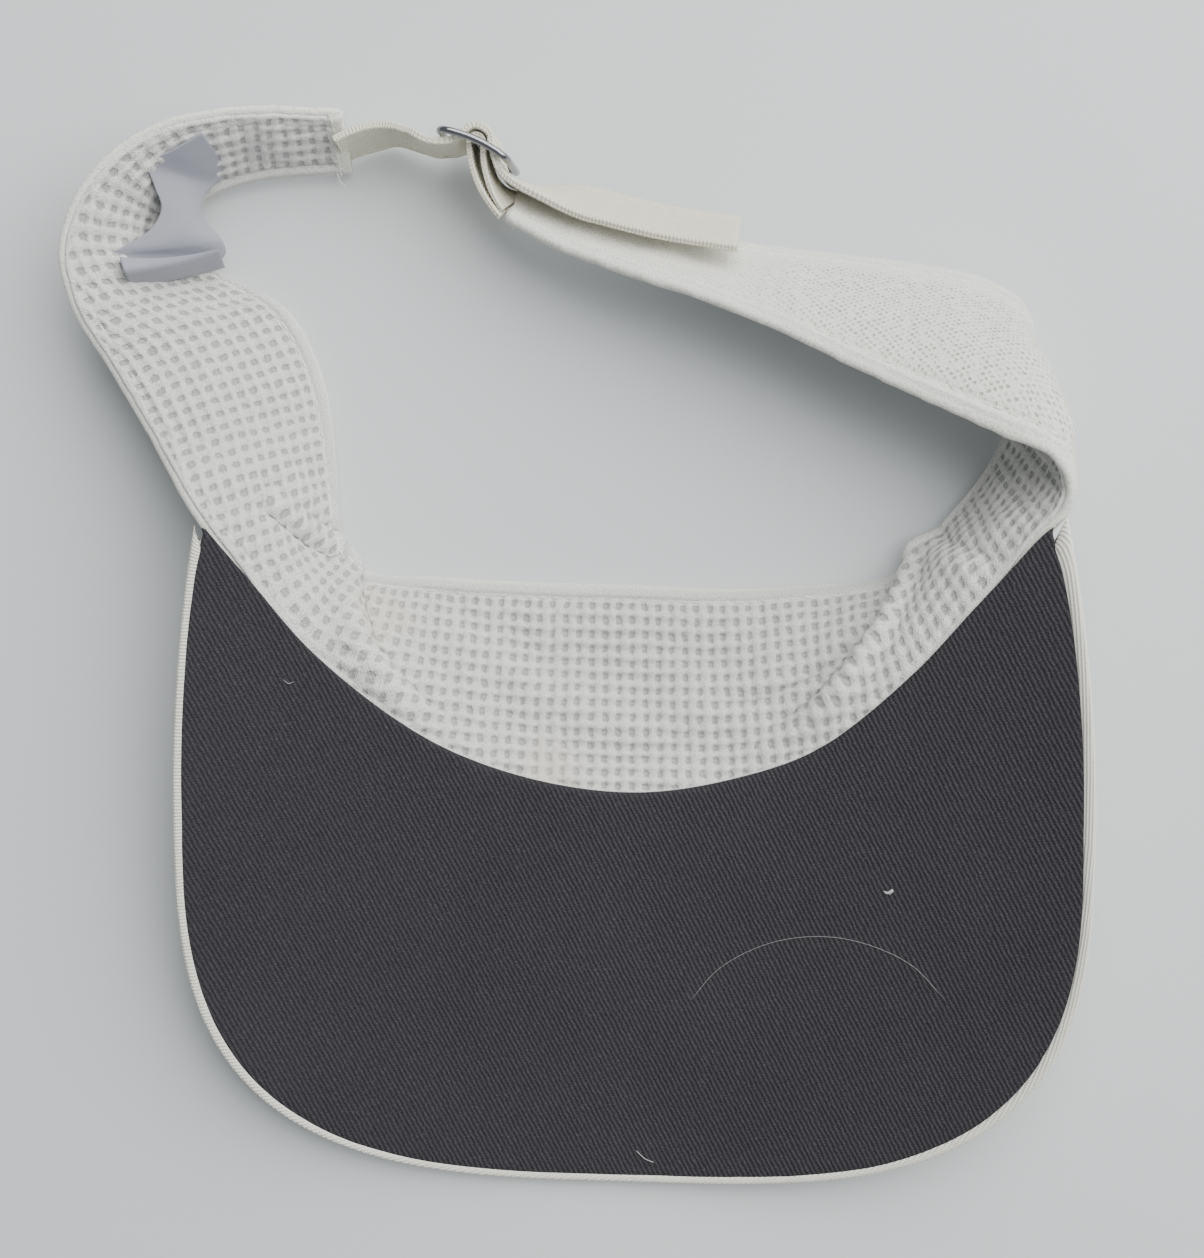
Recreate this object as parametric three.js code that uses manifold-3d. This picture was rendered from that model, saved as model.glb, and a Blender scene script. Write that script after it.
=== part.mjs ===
// Sun visor lying upside down: curved brim, open head band, adjuster strap with a wire slide buckle.
// Millimetres, +Z up, the brim points to -Y. The lining of the band and the brim underside face up.
import * as THREE from 'three';
import Module from 'manifold-3d';

const manifoldKit = await Module();
manifoldKit.setup();

// ---- driving dimensions ----
const bandLay = 1;               // scale of the head band's loop in plan
const bandHeight = 1;            // scale of the band from brim edge to crown edge
const bandHalfWidth = 91.2 * bandLay;
const brimOverhang = 6.4;        // how far the brim swells beyond its corners at the band
const brimHalfWidth = bandHalfWidth + brimOverhang;
const brimReach = 86;            // seam middle to the front edge
const brimRoundness = 3;         // exponent of the front outline, 2 would be an ellipse
const brimArch = 0.0014;         // how fast the sides of the brim curl up, per mm
const brimSeamHeight = 10.3;     // middle of the seam above the floor
const brimTilt = 0.038;          // sideways lean of the resting brim
const brimMiddleX = 6;
const brimSway = 0.02;           // the front outline sits slightly askew
const seamMiddleY = -36.8;
const boardThick = 1.5;
const coverThick = 0.8;
const edgeWrap = 2.4;            // width of the top cover folded round the brim edge
const clothThick = 0.9;
const liningThick = 0.9;
const stiffenerThick = 0.5;
const layerGap = 0.3;
const loopEndGap = 1.1;          // anchor loop to the bound end of the band
const strapWidth = 14.5;
const strapThick = 1.5;
const tailReach = 52;            // free length of strap beyond the buckle
const wireRadius = 0.7;
const buckleHalfLength = 7.9;    // middle bar to either outer bar
const buckleHalfHeight = strapWidth / 2 + wireRadius + 0.65;
const buckleBow = 1;
const loopThick = 1.1;
const loopWidth = strapWidth - 1.9;
const labelThick = 0.4;
const careLabelHeight = 8;

const cloth = { color: 0xe3e2d8, roughness: 0.9, metalness: 0 };
const wovenTape = { color: 0xe7e3d2, roughness: 0.9, metalness: 0 };
const waffle = { color: 0xe4e5e6, roughness: 0.92, metalness: 0 };
const charcoal = { color: 0x4a4850, roughness: 0.95, metalness: 0 };
const plastic = { color: 0xdcdcd8, roughness: 0.5, metalness: 0 };
const felt = { color: 0xd9d9d4, roughness: 0.95, metalness: 0 };
const satin = { color: 0xcfd0d4, roughness: 0.4, metalness: 0 };
const chrome = { color: 0xc8c8cc, roughness: 0.2, metalness: 1 };

const visor = new THREE.Group();
visor.name = 'sun_visor';

function addPiece(name, geometry, finish) {
  const mesh = new THREE.Mesh(geometry, new THREE.MeshStandardMaterial(finish));
  mesh.name = name;
  visor.add(mesh);
}

// ---- thick sheets: a surface point function, its normal and a skin closed all round ----
const nudge = 1e-4;

function surfaceNormal(surface, u, v) {
  const along = surface(u + nudge, v).sub(surface(u - nudge, v));
  const across = surface(u, v + nudge).sub(surface(u, v - nudge));
  return along.cross(across).normalize();
}

function offsetPoint(surface, u, v, height) {
  return surface(u, v).addScaledVector(surfaceNormal(surface, u, v), height);
}

// Skins a row of rings that all have the same number of points, then closes both ends.
// The second half of a ring turns its diagonals over, so both faces of a sheet bend the same way.
function skinRings(rings, capOutline) {
  const count = rings[0].length;
  const positions = rings.flat().flatMap((p) => [p.x, p.y, p.z]);
  const faces = [];
  for (let i = 0; i < rings.length - 1; i += 1) {
    for (let j = 0; j < count; j += 1) {
      const a = i * count + j;
      const b = i * count + ((j + 1) % count);
      if (j < count / 2) {
        faces.push(a, b, b + count, a, b + count, a + count);
      } else {
        faces.push(a, b, a + count, b, b + count, a + count);
      }
    }
  }
  const last = (rings.length - 1) * count;
  for (const [a, b, c] of THREE.ShapeUtils.triangulateShape(capOutline, [])) {
    faces.push(a, c, b, last + a, last + b, last + c);
  }
  const geometry = new THREE.BufferGeometry();
  geometry.setAttribute('position', new THREE.Float32BufferAttribute(positions, 3));
  geometry.setIndex(faces);
  return geometry;
}

// section(u) gives the closed outline as [v, height] pairs, the same count for every u.
function sweptSheet(surface, uFrom, uTo, steps, section) {
  const rings = [];
  for (let i = 0; i <= steps; i += 1) {
    const u = uFrom + ((uTo - uFrom) * i) / steps;
    rings.push(section(u).map(([v, height]) => offsetPoint(surface, u, v, height)));
  }
  const middle = section((uFrom + uTo) / 2).map(([v, height]) => new THREE.Vector2(v * 100, height));
  const isReversed = THREE.ShapeUtils.area(middle) < 0;
  const geometry = skinRings(rings, middle);
  return isReversed ? flipFaces(geometry) : geometry;
}

function flipFaces(geometry) {
  const index = Array.from(geometry.getIndex().array);
  for (let i = 0; i < index.length; i += 3) {
    [index[i + 1], index[i + 2]] = [index[i + 2], index[i + 1]];
  }
  geometry.setIndex(index);
  return geometry;
}

function slabSection(vFrom, vTo, low, high, steps) {
  const bottom = [];
  for (let i = 0; i <= steps; i += 1) {
    bottom.push(vFrom + ((vTo - vFrom) * i) / steps);
  }
  const top = [...bottom].reverse();
  return [...bottom.map((v) => [v, low]), ...top.map((v) => [v, high])];
}

function slab(surface, [uFrom, uTo, uSteps], [vFrom, vTo, vSteps], low, high) {
  const section = () => slabSection(vFrom, vTo, low, high, vSteps);
  return sweptSheet(surface, uFrom, uTo, uSteps, section);
}

// ---- solids through manifold-3d ----
function toManifold(geometry) {
  const mesh = new manifoldKit.Mesh({
    numProp: 3,
    vertProperties: new Float32Array(geometry.getAttribute('position').array),
    triVerts: new Uint32Array(geometry.getIndex().array),
  });
  mesh.merge();
  return new manifoldKit.Manifold(mesh);
}

function fromManifold(solid) {
  const mesh = solid.getMesh();
  const geometry = new THREE.BufferGeometry();
  geometry.setAttribute('position', new THREE.Float32BufferAttribute(mesh.vertProperties, 3));
  geometry.setIndex(Array.from(mesh.triVerts));
  return geometry;
}

function mergedCopy(geometry) {
  const source = geometry.toNonIndexed();
  const count = source.getAttribute('position').count;
  const plain = new THREE.BufferGeometry();
  plain.setAttribute('position', source.getAttribute('position'));
  plain.setIndex(Array.from({ length: count }, (_, i) => i));
  return plain;
}

// Presses the resting pieces flat where they touch the floor.
function restOnFloor(geometry) {
  const below = new THREE.BoxGeometry(600, 600, 40);
  below.translate(0, 0, -20);
  return fromManifold(toManifold(geometry).subtract(toManifold(mergedCopy(below))));
}

// ---- brim ----
function brimHeight(x, y) {
  const side = x - brimMiddleX;
  const back = y - seamMiddleY;
  return brimSeamHeight + 0.12 * back + 0.0002 * back * back + brimArch * side * side + brimTilt * side;
}

// ---- head band: brim edge and crown edge of the loop, left end to right end ----
// Each row: brim edge x, y, z, crown edge x, y, z, and how far the cloth bellies out between them.
// The rows sewn to the brim take their brim edge height from the brim.
const seamRow = null;
const bandRows = [
  [-56, 111, 16, -55.5, 102, 2.4, 0],
  [-79, 110.2, 20, -80, 99.6, 2.2, 0.6],
  [-96, 105.5, 22, -89.4, 95, 2, 1],
  [-108.3, 95, 23, -93.6, 89.6, 1.8, 1.2],
  [-114.4, 80.8, 22, -91.6, 83, 1.7, 1.4],
  [-112.2, 68.6, 20, -83.3, 78, 1.7, 1.6],
  [-104.6, 56, 19, -70.4, 70.5, 1.7, 2],
  [-95.4, 41, 21, -62.5, 55, 1.7, 2.4],
  [-84.6, 23.6, seamRow, -59.6, 34.6, 1.7, 1.8],
  [-74.5, 10, seamRow, -58.6, 20.2, 1.6, 2.2],
  [-61.5, -6.2, seamRow, -52.6, 12.6, 1.5, 3.6],
  [-38.2, -24.6, seamRow, -35.5, 11, 1.1, 1.6],
  [-16, -33.6, seamRow, -14.5, 9.8, 1.05, -1],
  [7.6, -36.8, seamRow, 7.6, 9.2, 1.05, -1.6],
  [29, -33.6, seamRow, 27, 8.4, 1.05, -0.4],
  [47.3, -26.6, seamRow, 45, 9.2, 1.1, 2],
  [66.2, -10.6, seamRow, 65, 11.6, 1.5, 4.4],
  [78.2, 3.6, seamRow, 76, 23, 1.6, 4],
  [88.6, 16.6, seamRow, 85.4, 34, 1.7, 1.6],
  [96, 27.2, 34.2, 91.6, 46.6, 1.7, -1.4],
  [92.8, 35.4, 35.2, 94.2, 60, 1.7, -4.4],
  [82.9, 40.6, 34, 93.6, 71, 1.7, -5.5],
  [70, 46.8, 31.4, 84.6, 77, 1.9, -4],
  [55.9, 53.6, 29, 67.6, 80.4, 2.6, -2.6],
  [39.4, 62, 27, 49.3, 82.4, 3.6, -1.6],
  [20.6, 70, 25, 26.5, 85, 5, -0.6],
  [3.6, 76.2, 22.2, 7.3, 88.9, 6.6, -0.3],
  [-11.1, 82.4, 19.6, -8.1, 93, 7.6, 0],
  [-20.8, 88.3, 18, -18, 95.4, 8, 0],
];
const bandCentre = new THREE.Vector2(brimMiddleX, seamMiddleY);
const lastRow = bandRows.length - 1;
const leftCorner = 8;
const rightCorner = 18;

function laidOut(x, y) {
  return new THREE.Vector2(x, y).sub(bandCentre).multiplyScalar(bandLay).add(bandCentre);
}

function laidOutPoint(x, y, z) {
  const at = laidOut(x, y);
  return new THREE.Vector3(at.x, at.y, z);
}

function brimEdgePoint([x, y, z]) {
  const at = laidOut(x, y);
  return new THREE.Vector3(at.x, at.y, z === seamRow ? brimHeight(at.x, at.y) : z);
}

// A higher band keeps its two ends as they are, where the strap is sewn on.
function crownEdgePoint(row, index) {
  const growth = 1 + (bandHeight - 1) * Math.sin((Math.PI * index) / lastRow);
  const brimSide = brimEdgePoint(row);
  return laidOutPoint(row[3], row[4], row[5]).sub(brimSide).multiplyScalar(growth).add(brimSide);
}

const brimEdge = new THREE.CatmullRomCurve3(bandRows.map(brimEdgePoint), false, 'centripetal');
const crownEdge = new THREE.CatmullRomCurve3(bandRows.map(crownEdgePoint), false, 'centripetal');
const bellyCurve = new THREE.CatmullRomCurve3(
  bandRows.map((row, i) => new THREE.Vector3(i, row[6], 0)), false, 'centripetal');

// u counts rows from the left end, v runs from the brim edge (0) to the crown edge (1).
function bandSurface(u, v) {
  const t = Math.min(Math.max(u / lastRow, 0), 1);
  const side = 2e-4;
  const low = Math.max(t - side, 0);
  const high = Math.min(t + side, 1);
  const along = brimEdge.getPoint(high).sub(brimEdge.getPoint(low))
    .add(crownEdge.getPoint(high).sub(crownEdge.getPoint(low)));
  const from = brimEdge.getPoint(t);
  const across = crownEdge.getPoint(t).sub(from);
  const facing = along.cross(across).normalize();
  const belly = bellyCurve.getPoint(t).y * 6.75 * v * (1 - v) * (1 - v);
  return from.addScaledVector(across, v).addScaledVector(facing, belly);
}

const clothLow = -(stiffenerThick / 2 + layerGap + clothThick);
const clothHigh = clothLow + clothThick;
const liningLow = stiffenerThick / 2 + layerGap;
const liningHigh = liningLow + liningThick;
const tabRows = 0.25;
const slicesPerRow = 3;          // all layers share the same slices, so they never cut into each other
const slicesAcross = 8;

function bandLayer(fromRow, toRow, [fromSlice, toSlice], low, high) {
  const span = [fromRow, toRow, Math.round((toRow - fromRow) * slicesPerRow)];
  const across = [fromSlice / slicesAcross, toSlice / slicesAcross, toSlice - fromSlice];
  return slab(bandSurface, span, across, low, high);
}

function addBand() {
  const spans = [
    ['left_side', tabRows + 0.03, leftCorner - 0.03],
    ['front', leftCorner, rightCorner],
    ['right_side', rightCorner + 0.06, lastRow - tabRows * 1.6 - 0.04],
  ];
  for (const [name, from, to] of spans) {
    const outer = bandLayer(from, to, [0, slicesAcross], clothLow, clothHigh);
    const lining = bandLayer(from, to, [0, slicesAcross], liningLow, liningHigh);
    addPiece(`${name}_outer`, restOnFloor(outer), cloth);
    addPiece(`${name}_lining`, restOnFloor(lining), waffle);
  }
  const half = stiffenerThick / 2;
  const stiffener = bandLayer(leftCorner + 2, rightCorner - 2, [1, slicesAcross - 1], -half, half);
  addPiece('front_interlining', restOnFloor(stiffener), felt);
  addPiece('left_end_tab', slab(bandSurface, [0, tabRows, 2], [0, 1, 4], clothLow, liningHigh), cloth);
  const rightTab = [lastRow - tabRows * 1.6, lastRow, 3];
  addPiece('right_end_tab', slab(bandSurface, rightTab, [0, 1, 4], clothLow, liningHigh), cloth);
}

// ---- brim layers, from the seam (v = 0) to the outer edge (v = 1), left corner to right corner ----
const seamClearance = 1;
const cornerClearance = 1.8;     // extra where the band stands up steeply at the brim corners
const brimWidest = 8;            // the widest line of the brim lies this far in front of the seam middle
const seamStart = leftCorner + 0.1;
const seamEnd = rightCorner + 0.4;

function seamPoint(u) {
  const row = seamStart + u * (seamEnd - seamStart);
  const clearance = seamClearance + cornerClearance * (2 * u - 1) ** 2;
  const t = row / lastRow;
  const at = brimEdge.getPoint(t);
  const along = brimEdge.getTangent(t).setZ(0).normalize();
  return new THREE.Vector2(at.x + along.y * clearance, at.y - along.x * clearance);
}

function outlinePoint(u) {
  const at = levelOutlinePoint(u);
  return at.setY(at.y - brimSway * (at.x - brimMiddleX));
}

function levelOutlinePoint(u) {
  const corner = 0.2;
  const frontHalf = brimReach - brimWidest;
  if (u < corner || u > 1 - corner) {
    const rise = u < corner ? 1 - u / corner : 1 - (1 - u) / corner;
    const side = u < corner ? -1 : 1;
    const [backReach, taper] = side < 0 ? [67, brimOverhang] : [72, brimOverhang + 1.6 * bandLay];
    return new THREE.Vector2(brimMiddleX + side * (brimHalfWidth - taper * rise * rise),
      seamMiddleY - brimWidest + backReach * bandLay * rise);
  }
  const angle = Math.PI * (1 + (u - corner) / (1 - 2 * corner));
  const power = 2 / brimRoundness;
  const round = (value) => Math.sign(value) * Math.abs(value) ** power;
  return new THREE.Vector2(brimMiddleX + brimHalfWidth * round(Math.cos(angle)),
    seamMiddleY - brimWidest + frontHalf * round(Math.sin(angle)));
}

// Runs from the right corner (u = 0) to the left one, so that its normal points up.
function brimSurface(u, v) {
  const at = seamPoint(1 - u).lerp(outlinePoint(1 - u), v);
  return new THREE.Vector3(at.x, at.y, brimHeight(at.x, at.y));
}

// Share of the seam-to-edge distance that leaves a margin, which narrows in the pointed corners.
function edgeShare(u, margin, most) {
  return 1 - Math.min(margin / seamPoint(1 - u).distanceTo(outlinePoint(1 - u)), most);
}

function addBrim() {
  const low = -(boardThick / 2 + layerGap + coverThick);
  const high = -low;
  const span = [0.015, 0.985, 48];
  const steps = 9;
  const coverSection = (u) => {
    const lip = edgeShare(u, edgeWrap, 0.36);
    const floor = slabSection(0, lip, low, low + coverThick, steps);
    const under = floor.slice(0, steps + 1);
    const over = floor.slice(steps + 1);
    return [...under, [1, low], [1, high], [lip, high], ...over];
  };
  const topCover = sweptSheet(brimSurface, ...span, coverSection);
  addPiece('brim_top_cover', restOnFloor(topCover), cloth);
  const inner = (lowSide, highSide) => sweptSheet(brimSurface, ...span, (u) => (
    slabSection(0, edgeShare(u, edgeWrap + layerGap, 0.52), lowSide, highSide, steps)));
  addPiece('brim_board', inner(-boardThick / 2, boardThick / 2), plastic);
  addPiece('brim_under_cover', inner(high - coverThick, high), charcoal);
}

// ---- closure ----
const buckleCentre = bandSurface(lastRow, 0.5).add(new THREE.Vector3(-7, 12.75, -0.6));
const buckleAlong = new THREE.Vector3(0.917, -0.4, 0).normalize();
const buckleUp = new THREE.Vector3(-0.1, -0.04, 1).normalize();
const buckleOut = new THREE.Vector3().crossVectors(buckleUp, buckleAlong).normalize();

// A point of the strap weave: p along the buckle, q outward from its middle bar.
function weavePoint(p, q) {
  return buckleCentre.clone().addScaledVector(buckleAlong, p).addScaledVector(buckleOut, q);
}

function ribbonSurface(topPoints, bottomPoints) {
  const top = new THREE.CatmullRomCurve3(topPoints, false, 'centripetal');
  const bottom = new THREE.CatmullRomCurve3(bottomPoints, false, 'centripetal');
  return (u, v) => {
    const t = Math.min(Math.max(u, 0), 1);
    return top.getPoint(t).lerp(bottom.getPoint(t), v);
  };
}

const overReach = wireRadius + layerGap + loopThick + layerGap + strapThick / 2 + 0.1;
const underReach = buckleBow + wireRadius + 1.4 + strapThick / 2;

function strapPath() {
  const weave = [
    [-buckleHalfLength - 0.4, -underReach + 0.3],
    [-buckleHalfLength * 0.6, -underReach * 0.42],
    [-overReach * 0.96, overReach * 0.36],
    [-overReach * 0.6, overReach * 0.84],
    [0, overReach],
    [overReach * 0.66, overReach * 0.8],
    [overReach * 1.02, overReach * 0.3],
    [buckleHalfLength * 0.66, -underReach * 0.4],
    [buckleHalfLength * 0.98, -underReach * 0.96],
  ];
  return weave.map(([p, q]) => weavePoint(p, q));
}

function addStrap() {
  const half = strapWidth / 2;
  const woven = strapPath();
  const sewnStart = bandSurface(0, 0.5).add(new THREE.Vector3(0.85, -0.3, 0));
  const sewnEnd = [[0, 0, 0], [0.226, 1.74, -0.66], [0.477, 2.73, -1.2], [0.734, 1.52, -0.95]]
    .map(([share, bulge, drop]) => sewnStart.clone().lerp(woven[0], share).add(new THREE.Vector3(0, bulge, drop)));
  const uprights = sewnEnd.map((_, i) => new THREE.Vector3(0, 0.1, 1).lerp(buckleUp, i / sewnEnd.length));
  const centres = [...sewnEnd, ...woven];
  const ups = [...uprights, ...woven.map(() => buckleUp.clone())].map((up) => up.normalize());
  const top = centres.map((p, i) => p.clone().addScaledVector(ups[i], half));
  const bottom = centres.map((p, i) => p.clone().addScaledVector(ups[i], -half));
  const surface = ribbonSurface(top, bottom);
  addPiece('adjuster_strap', slab(surface, [0, 1, 60], [0, 1, 2], -strapThick / 2, strapThick / 2), wovenTape);
}

// The tail starts a small gap after the end of the strap and hangs beside the right arm.
function addTail() {
  const start = strapPath().at(-1).addScaledVector(buckleAlong, strapThick / 2 + 0.1)
    .addScaledVector(buckleOut, 0.25);
  const root = weavePoint(8.4, -3.4);
  const lean = new THREE.Vector3(-0.2, -0.6, 0.78).normalize();
  const hanging = [[7.7, -2.2, 2.3], [18.8, -5.5, 2.7], [34, -9.7, 3.1], [50, -12.3, 3.3]]
    .map((p) => new THREE.Vector3(...p).multiplyScalar(tailReach / 52));
  const halfway = buckleUp.clone().lerp(lean, 0.5).normalize();
  const leans = [buckleUp, halfway, lean, lean, lean];
  const placed = [start, ...hanging.map((p) => p.add(root))];
  const half = strapWidth / 2;
  const top = placed.map((p, i) => p.clone().addScaledVector(leans[i], half));
  const bottom = placed.map((p, i) => p.clone().addScaledVector(leans[i], -half));
  const surface = ribbonSurface(top, bottom);
  addPiece('strap_tail', slab(surface, [0, 1, 30], [0, 1, 3], -strapThick / 2, strapThick / 2), wovenTape);
}

// A stadium path round the middle bar: in from the band end, half a turn, and back.
function loopPath(share, reach, radius, endGap) {
  const arc = Math.PI * radius;
  const travelled = share * (2 * reach + arc);
  if (travelled < reach) {
    const left = 1 - travelled / reach;
    return [left * reach, radius + (endGap - radius) * left];
  }
  if (travelled > reach + arc) {
    const left = (travelled - reach - arc) / reach;
    return [left * reach, -(radius + (endGap - radius) * left)];
  }
  const angle = Math.PI / 2 + (travelled - reach) / radius;
  return [radius * Math.cos(angle), radius * Math.sin(angle)];
}

function addAnchorLoop() {
  const radius = wireRadius + layerGap + loopThick / 2 + 0.05;
  const endGap = loopThick / 2 + 0.2;
  const endTop = bandSurface(lastRow, 0.04);
  const endBottom = bandSurface(lastRow, 0.96);
  const barTop = buckleCentre.clone().addScaledVector(buckleUp, loopWidth / 2);
  const barBottom = buckleCentre.clone().addScaledVector(buckleUp, -loopWidth / 2);
  const edge = (bar, end) => {
    const bend = bar.clone().add(new THREE.Vector3(-0.4, -8, 0));
    const leg = new THREE.QuadraticBezierCurve3(bar, bend, end);
    const reach = leg.getLength() - loopEndGap;
    return (share) => {
      const [d, m] = loopPath(share, reach, radius, endGap);
      const at = Math.max(d, 0) / leg.getLength();
      const along = leg.getTangentAt(at);
      const side = new THREE.Vector3().crossVectors(buckleUp, along).normalize();
      return leg.getPointAt(at).addScaledVector(along, Math.min(d, 0)).addScaledVector(side, m);
    };
  };
  const top = edge(barTop, endTop);
  const bottom = edge(barBottom, endBottom);
  const surface = (u, v) => top(u).lerp(bottom(u), v);
  addPiece('anchor_loop', slab(surface, [0, 1, 56], [0, 1, 3], -loopThick / 2, loopThick / 2), wovenTape);
}

function roundedFramePoints() {
  const corner = 2.4;
  const centres = [[1, 1, 0], [-1, 1, 90], [-1, -1, 180], [1, -1, 270]];
  const points = [];
  const place = (p, height) => {
    const bow = -buckleBow * (p / buckleHalfLength) ** 2;
    points.push(weavePoint(p, bow).addScaledVector(buckleUp, height));
  };
  for (const [signP, signH, start] of centres) {
    for (let step = 0; step <= 3; step += 1) {
      const angle = THREE.MathUtils.degToRad(start + step * 30);
      place(signP * (buckleHalfLength - corner) + corner * Math.cos(angle),
        signH * (buckleHalfHeight - corner) + corner * Math.sin(angle));
    }
    if (signP === signH) {
      place(0, signH * buckleHalfHeight);
    }
  }
  return points;
}

function addBuckle() {
  const path = new THREE.CatmullRomCurve3(roundedFramePoints(), true, 'centripetal');
  const frame = new THREE.TubeGeometry(path, 72, wireRadius, 10, true);
  const bar = new THREE.CylinderGeometry(wireRadius, wireRadius, 2 * buckleHalfHeight, 12);
  bar.applyQuaternion(new THREE.Quaternion().setFromUnitVectors(new THREE.Vector3(0, 1, 0), buckleUp));
  bar.translate(...buckleCentre.toArray());
  const solid = toManifold(mergedCopy(frame)).add(toManifold(mergedCopy(bar)));
  addPiece('slide_buckle', fromManifold(solid), chrome);
}

// ---- labels inside the left arm ----
function addMainLabel() {
  const lift = liningHigh + 1.2 + labelThick / 2;
  const end = (row, from, to) => (v) => offsetPoint(bandSurface, row, from + (to - from) * v, lift);
  const backEnd = end(1.5, 0.02, 0.86);
  const frontEnd = end(5.05, 0.06, 0.72);
  const waist = 0.17;
  const surface = (u, v) => {
    const pinch = waist * Math.sin(Math.PI * u) ** 2;
    const share = pinch + (1 - 2 * pinch) * v;
    return backEnd(share).lerp(frontEnd(share), u);
  };
  addPiece('main_label', slab(surface, [0, 1, 20], [0, 1, 4], -labelThick / 2, labelThick / 2), satin);
}

function addCareLabel() {
  const thick = 0.8;
  const base = (v) => offsetPoint(bandSurface, 5.4, 0.1 + 0.62 * v, liningHigh + 1);
  const rise = surfaceNormal(bandSurface, 5.4, 0.4).add(new THREE.Vector3(-0.1, 0.25, 0.35)).normalize();
  const surface = (u, v) => base(v).addScaledVector(rise, u * careLabelHeight);
  addPiece('care_label', slab(surface, [0, 1, 2], [0, 1, 4], -thick / 2, thick / 2), satin);
}

addBrim();
addBand();
addStrap();
addTail();
addAnchorLoop();
addBuckle();
addMainLabel();
addCareLabel();

// Rest the visor on the floor with its middle over the origin.
const bounds = new THREE.Box3().setFromObject(visor);
const middle = bounds.getCenter(new THREE.Vector3());
for (const mesh of visor.children) {
  mesh.geometry.translate(-middle.x, -middle.y, -bounds.min.z);
}

export default visor;
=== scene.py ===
"""Sun visor lying upside down: cloth, tape, labels and wire buckle over the solid frame."""
import math

import bmesh
import bpy
import numpy as np
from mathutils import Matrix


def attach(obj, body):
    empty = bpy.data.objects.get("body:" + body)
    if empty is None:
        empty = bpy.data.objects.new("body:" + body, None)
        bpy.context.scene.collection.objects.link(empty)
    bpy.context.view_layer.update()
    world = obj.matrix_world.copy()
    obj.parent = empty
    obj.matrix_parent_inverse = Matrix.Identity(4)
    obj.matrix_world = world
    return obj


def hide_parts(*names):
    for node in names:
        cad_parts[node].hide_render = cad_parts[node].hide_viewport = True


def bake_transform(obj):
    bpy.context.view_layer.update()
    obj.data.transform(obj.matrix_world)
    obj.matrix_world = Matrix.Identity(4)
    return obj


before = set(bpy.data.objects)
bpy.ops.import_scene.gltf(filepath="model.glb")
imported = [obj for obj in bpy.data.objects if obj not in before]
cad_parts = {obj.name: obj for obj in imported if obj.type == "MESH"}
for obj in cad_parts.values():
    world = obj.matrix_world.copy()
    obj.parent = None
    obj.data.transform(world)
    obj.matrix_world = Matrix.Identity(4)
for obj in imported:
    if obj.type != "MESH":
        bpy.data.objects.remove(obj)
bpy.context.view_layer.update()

MM = 0.001
LAY = np.array([5.425, 5.452, 0.0])     # brim drawing origin in the row frame, in mm

# ---- driving sizes: lengths in mm, tilt and sway as slopes ----
BRIM_HALF_WIDTH = 97.6
BRIM_REACH = 86.0
BRIM_ROUNDNESS = 3.0
BRIM_ARCH = 0.0014
BRIM_SEAM_HEIGHT = 10.3
BRIM_TILT = 0.038
BRIM_MIDDLE_X = 6.0
BRIM_SWAY = 0.02
LEFT_SIDE_REACH, RIGHT_SIDE_REACH = 67.0, 72.0      # how far the brim's side edges run back
LEFT_SIDE_INWARD, RIGHT_SIDE_INWARD = 6.4, 8.0      # how far they close in at the back
SEAM_MIDDLE_Y = -36.8
BOARD_THICK = 1.5
COVER_THICK = 0.8
EDGE_WRAP = 2.4
CLOTH_THICK = 0.9
STIFFENER_THICK = 0.5
LAYER_GAP = 0.3
STRAP_WIDTH = 14.5
STRAP_THICK = 1.5
WIRE_RADIUS = 0.7
BUCKLE_HALF_LENGTH = 7.9
BUCKLE_HALF_HEIGHT = 8.6
BUCKLE_BOW = 1.0
LOOP_THICK = 1.1
LOOP_WIDTH = 12.6
WAFFLE_ALONG = 3.0
WAFFLE_ACROSS = 3.1

# ---- surfaces shared by the cloth layers ----


def brim_height(x, y):
    side = x - BRIM_MIDDLE_X
    back = y - SEAM_MIDDLE_Y
    return BRIM_SEAM_HEIGHT + 0.12 * back + 0.0002 * back ** 2 + BRIM_ARCH * side ** 2 + BRIM_TILT * side


SEAM_ROW = None
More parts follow.
